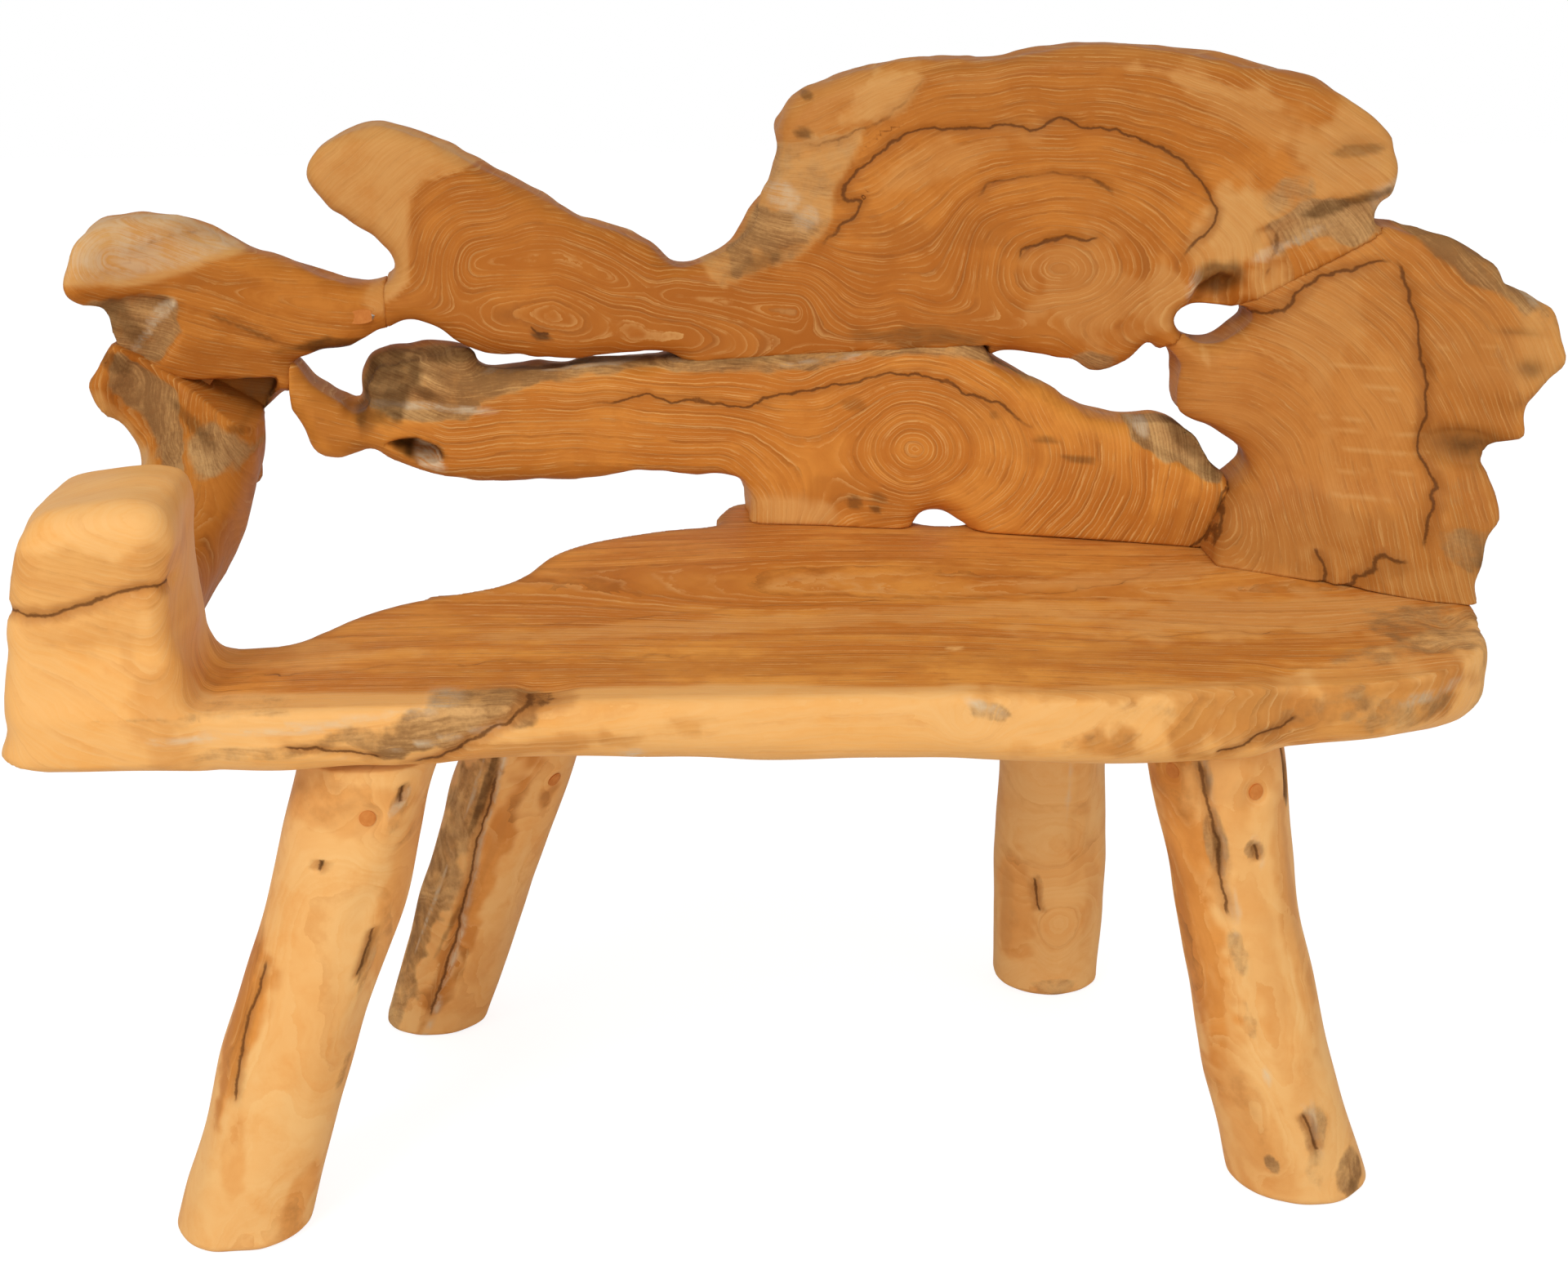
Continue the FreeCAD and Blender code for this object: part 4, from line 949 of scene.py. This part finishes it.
points, faces = slab_points("middle_rail_root", rail_form, rail_relief, slab_cuts(rail_cuts, seat_height))
across, depth, up = points.T
front = step_up(depth, *front_band)
rail_under = [(-440, 522), (-310, 480), (-130, 479), (-70, 476), (-48, 455), (-44, 400)]
eye = np.hypot((across - 0.105) * 0.8, up - 0.510)
ring = soft_join(line_away(across, up, rail_under), eye + 0.012, 0.09)
ring = swirled(ring, points, 64, 0.005, 0.0028)
strip_knots = [
    (-380, 552), (-366, 543), (-348, 536), (-312, 533), (-285, 532), (-270, 548), (-241, 555), (-213, 564),
    (-164, 573), (-84, 574), (2, 576), (53, 588), (148, 590), (200, 570), (260, 560),
]
strip = up - follow(across, strip_knots) + 0.005 * noise(points, 0.02, 67)
strip = step_up(strip, -0.002, 0.003) * step_up(across, -0.388, -0.380) * front
broken = area(across, up, rail_break, 68) * front
rim = patches(across, up, [(-318, 500, 18, 8, -35, 1)], 69) * front
# Dark ovals of rotted wood and knots; the one at (332, 530) is painted shade on the inner facet of the broken
# recess.
dark_table = [
    (-352, 566, 32, 26, 20, 0.78), (-300, 586, 40, 4, 0, 0.5), (-320, 556, 20, 7, -30, 0.45),
    (73, 466, 9, 7, 0, 0.45), (71, 456, 6, 4, 0, 0.7), (53, 461, 6, 5, 0, 0.6), (52, 548, 10, 8, 0, 0.3),
    (210, 523, 10, 2, 0, 0.45), (236, 508, 16, 2, 0, 0.5), (172, 541, 6, 3, -40, 0.4),
    (332, 530, 36, 10, -52, 0.6), (-100, 585, 90, 4, 0, 0.4),
]
tone_table = [
    (-400, 540, 40, 20, -35, 0.8), (-360, 505, 50, 12, -20, 0.7), (-200, 485, 100, 8, 0, 0.5),
    (-262, 548, 30, 10, 10, 0.5), (60, 463, 60, 18, 0, 0.6), (180, 525, 70, 16, -30, 0.4),
    (270, 480, 50, 20, -60, 0.35), (330, 455, 20, 30, -20, 0.6),
]
rail_bleached = [
    (-330, 545, 60, 3, -4, 0.7), (293, 540, 6, 12, 20, 0.7), (-170, 578, 60, 2, 4, 0.5),
    (10, 583, 40, 2, 8, 0.5),
]
gap, opened = nearest_crack(across, up, rail_cracks, 60)
# Painted shade: the hollow is painted almost black, all but its pale lower lip.
dark_wood_and_shade = 0.93 * area(across, up, rail_hollow, 61) * (1 - rim)
dark_wood_and_shade = np.maximum(patches(across, up, dark_table, 66, 0.5), dark_wood_and_shade)
rail = add_piece("middle_rail_carved", stand(points), faces, {
    "ring": ring, "along": across, "crack": gap, "crack_open": opened * 0.75 * front, "dark_wood_and_shade": dark_wood_and_shade * front,
    "sapwood": np.maximum(0.55 * strip, patches(across, up, [(-20, 450, 50, 20, 0, 0.6)], 59)),
    "bleached": np.maximum(0.8 * rim, patches(across, up, rail_bleached, 57, 0.5)) * front,
    "worn": np.clip(0.75 * strip + 0.9 * broken, 0, 1),
    "tone": patches(across, up, tone_table, 58, 0.45) * front})
rail.data.materials.append(burl_wood)
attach(rail, "root")
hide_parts("middle_rail_root")

# Crest
# Largest slab, over the rail: a blunt finger to the left, a saddle, and a round crest with nested
# rings inside a dark bark line, pale sapwood round its rim and a knotty lobe on the right.
crest_pith = [(-270, 668), (-200, 672), (-120, 640), (0, 628)]
crest_low_pith = [(-360, 600), (-50, 570), (30, 590), (90, 604), (170, 585), (300, 575)]
crest_cracks = [
    [(0, 655), (25, 677), (49, 705), (56, 717), (44, 722), (44, 733), (53, 746), (81, 765), (112, 781),
     (135, 779), (156, 780), (177, 787), (199, 782), (226, 788), (252, 785), (284, 776), (320, 757),
     (338, 733), (342, 723), (340, 713), (325, 694), (317, 679), (313, 651)],
    [(149, 720), (159, 729), (165, 737), (186, 744), (217, 747), (247, 742), (274, 728)],
    [(189, 668), (189, 683), (207, 689), (228, 694), (262, 694)],
    [(-228, 611), (-222, 605), (-210, 607)],
    [(-13, 762), (27, 770), (59, 779), (81, 786), (89, 796), (102, 807), (112, 822), (120, 835)],
    [(340, 622), (358, 624), (379, 636), (397, 640), (412, 659), (423, 673), (439, 678), (480, 690)],
    [(381, 665), (385, 683), (390, 703), (400, 714), (410, 718)],
]
crest_line_strength = (1.0, 0.6, 0.8, 0.9, 0.45, 0.7, 0.5)
crest_cuts = [(crest_rail_seam, 0, -seam_reach), (crest_disc_seam, seam_reach, -seam_reach),
              (horn_crest_seam, -seam_reach, 0)]
crest_socket = [(322, 640), (332, 660), (350, 673), (362, 668), (366, 640)]
crest_form = slab_form(crest_outline, 0.018, [upper_hole_outline], [(crest_socket, 0.018)])


def crest_relief(spots):
    """Gnarled skin, a rough flank by the saddle, pits in the right lobe and a groove at the bark line."""
    across, depth, up = spots.T
    front = step_up(depth, *front_fade)
    flank = spot(across, up, (-0.018, 0.705), 0.030, 0.060)
    pits = spot(across, up, (0.448, 0.774), 0.024, 0.010)
    pits = pits + 0.6 * spot(across, up, (0.425, 0.790), 0.012, 0.007)
    rough_band = patches(across, up, [(432, 715, 50, 16, 18, 1)], 76)
    gap, opened = nearest_crack(across, up, crest_cracks[:3], 71)
    groove = opened * np.exp(-(gap / 0.0035) ** 2)
    rough = 0.006 * noise(spots, 0.024, 73) * np.clip(flank + rough_band, 0, 1) + 0.006 * rough_band
    return gnarled(spots, 70) + rough + 0.008 * pits + front * 0.0022 * groove


points, faces = slab_points("crest_root", crest_form, crest_relief, slab_cuts(crest_cuts))
across, depth, up = points.T
front = step_up(depth, *front_band)
finger_rings = line_away(across, up, crest_pith)
off_dome = across - 0.225
dome_rings = np.hypot(off_dome * 0.58, up - 0.668 + 0.15 * np.minimum(off_dome, 0) ** 2)
low_rings = line_away(across, up, crest_low_pith)
ring = soft_join(soft_join(finger_rings * 1.1, dome_rings, 0.05), low_rings + 0.010, 0.04)
ring = swirled(ring, points, 74, 0.010, 0.0038)
crest_edge = outline_distance(across, up, flowing(front_view(crest_outline)))
rim = step_up(crest_edge + 0.008 * noise(points, 0.05, 75), -0.018, -0.010) * step_up(up, 0.74, 0.78)
tip_knots = [
    (630, -360), (640, -344), (653, -328), (688, -327), (710, -327), (723, -324), (737, -310), (749, -266),
    (760, -200),
]
tip_line = follow(up, tip_knots)
tip = step_up(tip_line - across + 0.003 * noise(points, 0.02, 77), -0.002, 0.004)
tip_band = np.exp(-((across - tip_line - 0.006) / 0.007) ** 2) * (up > 0.64)
pale_patch_outline = [
    (40, 787), (53, 813), (72, 826), (101, 830), (112, 822), (104, 809), (89, 794), (72, 784), (47, 783),
]
pale_patch = area(across, up, pale_patch_outline, 78)
flank_outline = [
    (-20, 763), (59, 779), (55, 765), (40, 735), (34, 705), (15, 676), (-60, 645), (-80, 665), (-30, 740),
]
flank = area(across, up, flank_outline, 79)
pale_table = [
    (35, 805, 75, 32, 25, 0.35), (345, 818, 60, 6, -14, 0.7), (338, 690, 22, 20, 60, 0.8),
    (372, 712, 36, 24, 40, 0.9), (310, 655, 14, 30, 0, 0.6), (440, 765, 50, 50, 40, 0.65),
    (250, 650, 50, 45, 0, 0.35), (140, 760, 60, 12, 20, 0.3), (385, 655, 22, 20, 30, 0.75),
    (370, 800, 60, 16, -25, 0.35),
]
tone_table = [
    (450, 775, 34, 14, 12, 1), (410, 770, 16, 6, -20, 0.7), (10, 806, 14, 8, 0, 0.6),
    (10, 776, 26, 12, 0, 0.6), (35, 735, 12, 30, -10, 0.7), (120, 690, 60, 14, 12, 0.55),
    (153, 690, 20, 6, 0, 0.7), (100, 660, 80, 10, -4, 0.3), (250, 838, 120, 6, 2, 0.7),
    (250, 800, 120, 10, 3, 0.5), (210, 640, 60, 30, 0, 0.35), (275, 620, 50, 18, 20, 0.5),
    (-240, 612, 80, 12, -12, 0.5), (390, 690, 8, 26, 10, 0.7), (420, 655, 40, 8, 40, 0.6),
    (-50, 600, 120, 10, 4, 0.35), (300, 640, 12, 50, 5, 0.4), (60, 700, 12, 12, 0, 0.5),
]
# Dark ovals of knots and rot; the one at (352, 668) is painted shade in the carved socket.
dark_table = [
    (10, 776, 7, 4, 0, 0.7), (14, 806, 4, 3, 0, 0.6), (440, 732, 30, 5, 20, 0.75),
    (352, 668, 20, 14, 20, 0.75), (448, 774, 16, 4, 10, 0.45), (256, 590, 22, 8, 10, 0.2),
    (105, 607, 50, 8, 0, 0.5), (-218, 605, 8, 3, -15, 0.8), (-30, 668, 30, 6, 25, 0.35),
]
worn_table = [
    (432, 717, 50, 16, 18, 1), (-20, 690, 30, 30, 60, 0.8), (252, 588, 30, 10, 8, 0.8),
    (395, 735, 20, 12, 30, 0.5),
]
bleached_table = [
    (475, 745, 20, 10, 30, 0.4), (-15, 725, 12, 16, 60, 0.5), (10, 705, 12, 8, 40, 0.4),
    (330, 664, 6, 16, -10, 0.6), (405, 700, 30, 4, 30, 0.4),
]
gap, opened = nearest_crack(across, up, crest_cracks, 71)
strength = np.zeros(len(across))
for path, share in zip(crest_cracks, crest_line_strength):
    own_gap = np.abs(nearest_crack(across, up, [path], 71)[0])
    strength = np.where(np.abs(own_gap - np.abs(gap)) < 1e-9, share, strength)
sapwood = np.maximum.reduce([rim * 0.15, tip * 0.75, 0.8 * pale_patch, 0.75 * flank,
                             patches(across, up, pale_table, 57, 0.6)])
near_edge = step_up(crest_edge + 0.02 * noise(points, 0.06, 52), -0.08, -0.015)
tone = np.maximum.reduce([patches(across, up, tone_table, 55, 0.5), 0.85 * tip_band, 0.50 * near_edge])
crest = add_piece("crest_carved", stand(points), faces, {
    "ring": ring, "along": across, "crack": gap, "crack_open": opened * strength * front,
    "sapwood": sapwood * front + 0.2 * (1 - front), "tone": tone * front,
    "worn": np.maximum(0.42 * flank, patches(across, up, worn_table, 56, 0.5)) * front,
    "bleached": patches(across, up, bleached_table, 53, 0.5) * front,
    "dark_wood_and_shade": patches(across, up, dark_table, 54, 0.4) * front})
crest.data.materials.append(slab_wood)
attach(crest, "root")
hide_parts("crest_root")

# Disc
# End-grain slice of the root at the right, with pale rays about its heart, a dark bark line down its
# side, a burred knob, and a foot swept forward over the seat.
disc_heart = (0.345, 0.475)
disc_cracks = [
    [(470, 700), (495, 648), (504, 586), (502, 539), (520, 508), (501, 468), (495, 450)],
    [(400, 431), (424, 434), (436, 437), (450, 447), (466, 455), (490, 462)],
    [(340, 622), (358, 624), (379, 636), (397, 640), (412, 659), (423, 673), (439, 678), (480, 690)],
    [(370, 500), (357, 486), (351, 462), (338, 444), (328, 425)],
    [(417, 463), (421, 447), (412, 434)],
]
disc_cuts = [(crest_disc_seam, -seam_reach, seam_reach), (rail_disc_seam, -seam_reach, 0)]
disc_form = slab_form(disc_outline, 0.016, [upper_hole_outline])


def disc_relief(spots):
    """Gnarled skin, ridges outside the bark line and a deep fold under the knob."""
    across, depth, up = spots.T
    outer = step_up(across - 0.5 + 0.12 * (up - 0.6), 0.0, 0.012)
    fold = spot(across, up, (0.535, 0.545), 0.030, 0.014) * step_up(depth, *front_fade)
    gap, opened = nearest_crack(across, up, disc_cracks, 81)
    groove = opened * np.exp(-(gap / 0.004) ** 2) * step_up(depth, 0.01, 0.0)
    ridges = outer * 0.006 * noise(spots, (0.03, 0.04, 0.022), 83)
    return gnarled(spots, 80) + 0.022 * fold + 0.003 * groove + ridges


def foot_sweep(points):
    """How far the disc's foot is swept forward: most at the right, dying out a hand above the seat and
    towards the back face."""
    across, depth, up = points.T
    reach = follow(across, [(280, 30), (322, 47), (406, 68), (489, 96), (560, 85)])
    drop = np.clip(1 - (up - seat_height) / 0.085, 0, 1)
    return reach * drop ** 2.2 * (1 - 0.95 * depth / back_thickness)


points, faces = slab_points("disc_root", disc_form, disc_relief, slab_cuts(disc_cuts, seat_height))
across, depth, up = points.T
front = step_up(depth, *front_band)
ring = swirled(np.hypot(across - disc_heart[0], (up - disc_heart[1]) * 0.9), points, 84, 0.006, 0.0032)
gap, opened = nearest_crack(across, up, disc_cracks, 81)
# Painted shade: the fold under the knob and the creases at the foot are painted dark, as the shade in them.
fold = spot(across, up, (0.540, 0.545), 0.026, 0.014) + 0.5 * spot(across, up, (0.545, 0.458), 0.02, 0.006)
fold = fold + 0.8 * spot(across, up, (0.575, 0.612), 0.008, 0.007)
fold = fold + 0.5 * spot(across, up, (0.566, 0.640), 0.014, 0.003)
outer = step_up(across - 0.5 + 0.12 * (up - 0.6), 0.0, 0.02)
knob = step_up(across, 0.555, 0.575) * step_up(up, 0.58, 0.61)
ray_heights = (603, 586, 576, 560, 549, 534, 517, 497)
ray_table = [
    (338, 600, 1.6, 30, 0, 0.7), (343, 590, 1.2, 22, 3, 0.6), (400, 600, 40, 1.2, -34, 0.6),
    (530, 625, 20, 1.2, 6, 0.5), (540, 610, 16, 1.2, 2, 0.4),
]
ray_table += [(466, height, 30, 1.4, 2, 0.75) for height in ray_heights]
rays = patches(across, up, ray_table, 87, 0.9)
pale_table = [
    (425, 632, 45, 35, 30, 0.5), (470, 590, 26, 60, 0, 0.3), (440, 510, 10, 60, 5, 0.35),
    (480, 450, 70, 10, -3, 0.45),
]
tone_table = [
    (400, 468, 70, 22, 0, 0.75), (350, 560, 50, 22, -30, 0.4), (530, 610, 30, 50, 5, 0.55),
    (512, 560, 12, 70, 5, 0.7), (540, 480, 34, 50, 0, 0.7), (395, 642, 50, 9, 30, 0.6),
    (335, 585, 12, 30, 0, 0.4), (500, 668, 60, 6, -12, 0.8), (560, 615, 6, 40, 8, 0.8),
    (540, 648, 30, 5, -40, 0.8), (470, 650, 30, 8, 20, 0.5),
]
worn_table = [(535, 690, 60, 12, -38, 1), (535, 470, 30, 12, 0, 0.8)]
worn = 0.3 * outer * step_up(noise(points, 0.025, 86), 0, 0.5)
sapwood = np.maximum.reduce([0.24 + 0.55 * knob, rays, patches(across, up, pale_table, 88, 0.5)])
disc = add_piece("disc_carved", stand(points, foot_sweep(points)), faces, {
    "ring": ring, "along": np.arctan2(up - disc_heart[1], across - disc_heart[0]) * 0.12,
    "crack": gap, "crack_open": opened * front, "sapwood": sapwood * front,
    "bleached": 0.5 * patches(across, up, [(578, 668, 6, 8, 0, 1)], 85, 0.5),
    "worn": np.maximum(worn, 0.75 * patches(across, up, worn_table, 83)),
    "tone": patches(across, up, tone_table, 89, 0.5) * front, "dark_wood_and_shade": np.clip(0.85 * fold, 0, 0.9) * front})
disc.data.materials.append(slab_wood)
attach(disc, "root")
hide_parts("disc_root")

# Horn
# Blunt root end over the arm, with a pale oval cut face, a tongue screwed to the crest, weathered facets
# under the face and a hollow underside beside the post that carries it, painted dark as its shade.
horn_pith = [(-560, 690), (-480, 655), (-420, 640), (-360, 630)]
horn_under = [
    (-535, 590), (-514, 583), (-487, 580), (-469, 578), (-444, 577), (-444, 568), (-452, 550), (-464, 530),
    (-520, 540),
]
horn_facets = [
    (-600, 655), (-568, 658), (-542, 660), (-520, 653), (-513, 624), (-530, 600), (-560, 600), (-600, 620),
]
horn_neck_reach = 50
horn_cuts = [(horn_crest_seam, seam_reach, 0), (horn_rail_seam, horn_neck_reach, 0),
             (post_horn_seam, -seam_reach, -seam_reach)]
horn_form = slab_form(horn_outline, 0.020, [], [(horn_under, 0.045), (horn_facets, 0.014)])


def horn_relief(spots):
    """Gnarled skin, rougher on the facets under the pale face."""
    across, depth, up = spots.T
    facets = area(across, up, horn_facets, 91, 0.006) * step_up(depth, 0.05, 0.0)
    return gnarled(spots, 90) + facets * 0.006 * noise(spots, 0.022, 93)


points, faces = slab_points("horn_root", horn_form, horn_relief, slab_cuts(horn_cuts))
across, depth, up = points.T
front = step_up(depth, *front_band)
ring = swirled(line_away(across, up, horn_pith) * 1.2, points, 94, 0.008, 0.003)
face_knots = [
    (-600, 672), (-588, 671), (-558, 667), (-525, 670), (-505, 673), (-491, 679), (-455, 683), (-400, 700),
]
face_edge = up - follow(across, face_knots)
facets, under = area(across, up, horn_facets, 91), area(across, up, horn_under, 92)
tone_table = [
    (-540, 662, 50, 5, 0, 0.7), (-455, 590, 60, 12, -15, 0.6), (-466, 622, 35, 5, -28, 0.7),
    (-480, 665, 40, 6, -15, 0.5), (-490, 600, 20, 12, -30, 0.5),
]
dark_table = [
    (-402, 601, 28, 6, 0, 0.8), (-565, 640, 12, 16, 0, 0.5), (-466, 622, 30, 2, -28, 0.5),
    (-549, 624, 6, 14, 30, 0.45),
]
horn_bleached = [
    (-540, 700, 40, 10, 10, 0.6), (-500, 715, 50, 10, 0, 0.5), (-575, 690, 12, 20, 0, 0.6),
    (-530, 640, 12, 4, 40, 0.7), (-545, 620, 20, 2, 50, 0.6), (-450, 700, 30, 5, -20, 0.3),
]
horn_cracks = [[(-560, 690), (-510, 701), (-470, 700)], [(-575, 680), (-530, 676)]]
gap, opened = nearest_crack(across, up, horn_cracks, 97)
sapwood = np.maximum(step_up(face_edge + 0.003 * noise(points, 0.03, 95), -0.002, 0.003),
                     patches(across, up, [(-352, 640, 20, 12, 0, 0.6)], 99))
bleached = np.maximum(patches(across, up, horn_bleached, 89, 0.5), 0.45 * step_up(face_edge, 0.002, 0.008))
# Painted shade: the hollow underside is painted dark brown, on top of the darker spots.
dark_wood_and_shade = np.maximum(patches(across, up, dark_table, 98, 0.4), 0.7 * under)
horn = add_piece("horn_carved", stand(points), faces, {
    "ring": ring, "along": across, "crack": gap, "crack_open": 0.3 * opened * front,
    "sapwood": sapwood * front, "bleached": bleached * front, "dark_wood_and_shade": dark_wood_and_shade * front,
    "worn": np.clip(0.75 * facets + 0.6 * under, 0, 1) * front,
    "tone": patches(across, up, tone_table, 96, 0.5) * front})
horn.data.materials.append(slab_wood)
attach(horn, "root")
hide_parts("horn_root")

# Post
# Bent root that leaves the back of the arm block level and turns up into a head under the horn: a grey
# weathered face aslant on its left, a smooth ridge beside it and orange wood flowing down its right.
post_rings = [
    (-0.434, -0.222, 0.5235, 0.064, 0.108), (-0.4363, -0.07, 0.532, 0.054, 0.11),
    (-0.4265, 0.1, 0.564, 0.074, 0.11), (-0.4208, 0.235, 0.608, 0.072, 0.11),
    (-0.4275, 0.29, 0.6553, 0.09, 0.106),
]
post_face = [
    (-575, 602), (-562, 616), (-528, 588), (-515, 567), (-500, 512), (-512, 507), (-540, 546), (-570, 588),
]
post_cuts = [(post_horn_seam, seam_reach, seam_reach)]
post_low, post_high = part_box("post_root")
post_head_form = slab_form(post_head_outline, 0.018)
post_sides = (bench_length, bench_depth, bench_height, bench_length / 2, bench_height / 2)
post_table = np.array(post_rings) * post_sides
ring_places, post_places = np.linspace(0, 1, len(post_rings)), np.linspace(0, 1, 17)
post_line = np.stack([blurred(np.interp(post_places, ring_places, column), 3) for column in post_table.T])
post_squareness = 2.8


def post_frame(x, y, z):
    """Place of points in the root: across from its middle line, off it towards the back, and along it,
    with its half width and half thickness there."""
    off, place = path_distance(y, z, post_line[1:3].T)
    lengths = np.hypot(*np.diff(post_line[1:3]))
    known = np.concatenate([[0], np.cumsum(lengths)]) / lengths.sum()
    middle, half_width, half_thickness = (np.interp(place, known, post_line[row]) for row in (0, 3, 4))
    return x - middle, off, place, half_width, half_thickness


def post_form(x, y, z):
    """Squared round section along the bent line, joined softly to the head."""
    flat_y, flat_z = np.broadcast_arrays(y[0], z[0])
    plane = post_frame(np.zeros(flat_y.shape), flat_y, flat_z)
    shift, off, _, half_width, half_thickness = (values[None] for values in plane)
    shape = np.abs((x + shift) / half_width) ** post_squareness
    shape = (shape + np.abs(off / half_thickness) ** post_squareness) ** (1 / post_squareness)
    neck = np.maximum((shape - 1) * np.minimum(half_width, half_thickness), post_low[1] - y)
    depth = y - bend_front(x) - lean_slope * (z - seat_height)
    return soft_join(np.maximum(neck, z - 0.590), post_head_form(x, depth, z), 0.025)


def post_relief(spots):
    """Waves along the root, a groove down its front and a flat weathered face on its left."""
    x, y, z = spots.T
    across, off, place, _, _ = post_frame(x, y, z)
    frame_spots = np.stack([across, off, place * 0.4], 1)
    groove = np.exp(-((across - 0.004 + 0.02 * place) / 0.006) ** 2)
    groove = groove * step_up(off, 0.0, 0.03) * step_up(0.93 - place, 0, 0.2)
    face = area(x, z, post_face, 107, 0.006) * step_up(y, -0.02, 0.06)
    waves = 0.005 * noise(frame_spots, (0.035, 0.05, 0.11), 101)
    waves = waves + 0.002 * noise(frame_spots, (0.014, 0.02, 0.05), 102)
    return waves + 0.006 * (groove + face)


points, faces = carve(post_low, post_high, back_cell, post_form, post_relief, slab_cuts(post_cuts))
x, y, z = points.T
across, off, place, _, _ = post_frame(x, y, z)
frame_spots = np.stack([across, off, place * 0.4], 1)
ring = 0.05 + across * 0.8 + 0.35 * off + 0.012 * np.sin(place * 9)
ring = ring + 0.006 * noise(frame_spots, (0.03, 0.05, 0.12), 103)
forward = step_up(y, -0.03, 0.03)
face = area(x, z, post_face, 107) * forward
chunk = patches(x, z, [(-478, 538, 22, 16, -30, 0.8)], 108, 0.5) * forward
pale_table = [(-566, 560, 34, 8, -58, 0.75), (-545, 524, 12, 14, -50, 0.9)]
dark_table = [(-566, 606, 12, 6, -40, 0.5), (-505, 556, 30, 4, -36, 0.5), (-470, 548, 10, 4, -30, 0.5)]
gap, opened = nearest_crack(x, z, [[(-518, 526), (-508, 512), (-511, 494), (-513, 471), (-510, 450)]], 109)
right_side = step_up(across, 0.0, 0.03)
post = add_piece("post_carved", points, faces, {
    "ring": ring, "along": place * 0.42, "crack": gap, "crack_open": 0.6 * opened * forward,
    "sapwood": patches(x, z, pale_table, 104, 0.5), "worn": np.maximum(0.85 * face, chunk),
    "tone": 0.25 * right_side * step_up(noise(frame_spots, 0.05, 105), -0.2, 0.4),
    "dark_wood_and_shade": patches(x, z, dark_table, 106, 0.4) * forward})
post.data.materials.append(slab_wood)
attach(post, "root")
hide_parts("post_root")

# Room
# Plain pale floor under soft studio light, seen from a little above the crest.
floor_mesh = bpy.data.meshes.new("floor")
floor_mesh.from_pydata([(-6, -6, 0), (6, -6, 0), (6, 6, 0), (-6, 6, 0)], [], [(0, 1, 2, 3)])
floor = bpy.data.objects.new("floor", floor_mesh)
bpy.context.scene.collection.objects.link(floor)
paper = Finish("pale floor")
rays = paper.tree.nodes.new("ShaderNodeLightPath")
seen = Link(paper, rays.outputs["Is Camera Ray"])
paper_surface = paper.node("BsdfDiffuse", {}, {"Color": colour(0.80, 0.80, 0.80)})
paper_glow = paper.node("Emission", {}, {"Color": colour(1, 1, 1), "Strength": 1.42})
paper.surface({0: seen * 0.6, 1: paper_surface, 2: paper_glow}, "MixShader")
floor.data.materials.append(paper.material)

world = bpy.data.worlds.new("studio")
world.use_nodes = True
bpy.context.scene.world = world
tree = world.node_tree
tree.nodes.clear()
sky = tree.nodes.new("ShaderNodeBackground")
sky.inputs["Strength"].default_value = 0.58
white = tree.nodes.new("ShaderNodeBackground")
white.inputs["Strength"].default_value = 1.0
path = tree.nodes.new("ShaderNodeLightPath")
mix = tree.nodes.new("ShaderNodeMixShader")
out = tree.nodes.new("ShaderNodeOutputWorld")
for node in (sky, white):
    node.inputs["Color"].default_value = colour(1, 1, 1)
tree.links.new(path.outputs["Is Camera Ray"], mix.inputs[0])
tree.links.new(sky.outputs[0], mix.inputs[1])
tree.links.new(white.outputs[0], mix.inputs[2])
tree.links.new(mix.outputs[0], out.inputs["Surface"])


def soft_lamp(name, place, aim, size, power):
    """Square area lamp at a place, turned to a point."""
    data = bpy.data.lights.new(name, "AREA")
    data.size = size
    data.energy = power
    lamp = bpy.data.objects.new(name, data)
    lamp.location = place
    direction = np.array(aim) - np.array(place)
    level = math.hypot(direction[0], direction[1])
    lamp.rotation_euler = (math.atan2(level, -direction[2]), 0, math.atan2(-direction[0], direction[1]))
    bpy.context.scene.collection.objects.link(lamp)


soft_lamp("key", (-1.6, -2.2, 2.6), (0.0, 0.0, 0.45), 1.4, 47)
soft_lamp("fill", (2.4, -1.6, 1.4), (0.0, 0.0, 0.45), 1.8, 12)
soft_lamp("low", (-0.3, -2.6, 0.35), (0.0, 0.0, 0.20), 1.4, 15)

camera_data = bpy.data.cameras.new("camera")
focal_pixels, frame_pixels, film_width = 2711.6, 1920, 36.0
camera_pitch, camera_turn = 0.34848, 0.07646
camera_data.sensor_width = film_width
camera_data.lens = film_width * focal_pixels / frame_pixels
camera = bpy.data.objects.new("camera", camera_data)
camera.location = (-0.1527, -1.7205, 1.0104)
camera.rotation_euler = (math.pi / 2 - camera_pitch, 0.0, -camera_turn)
bpy.context.scene.collection.objects.link(camera)
bpy.context.scene.camera = camera
bpy.context.scene.view_settings.view_transform = "Standard"
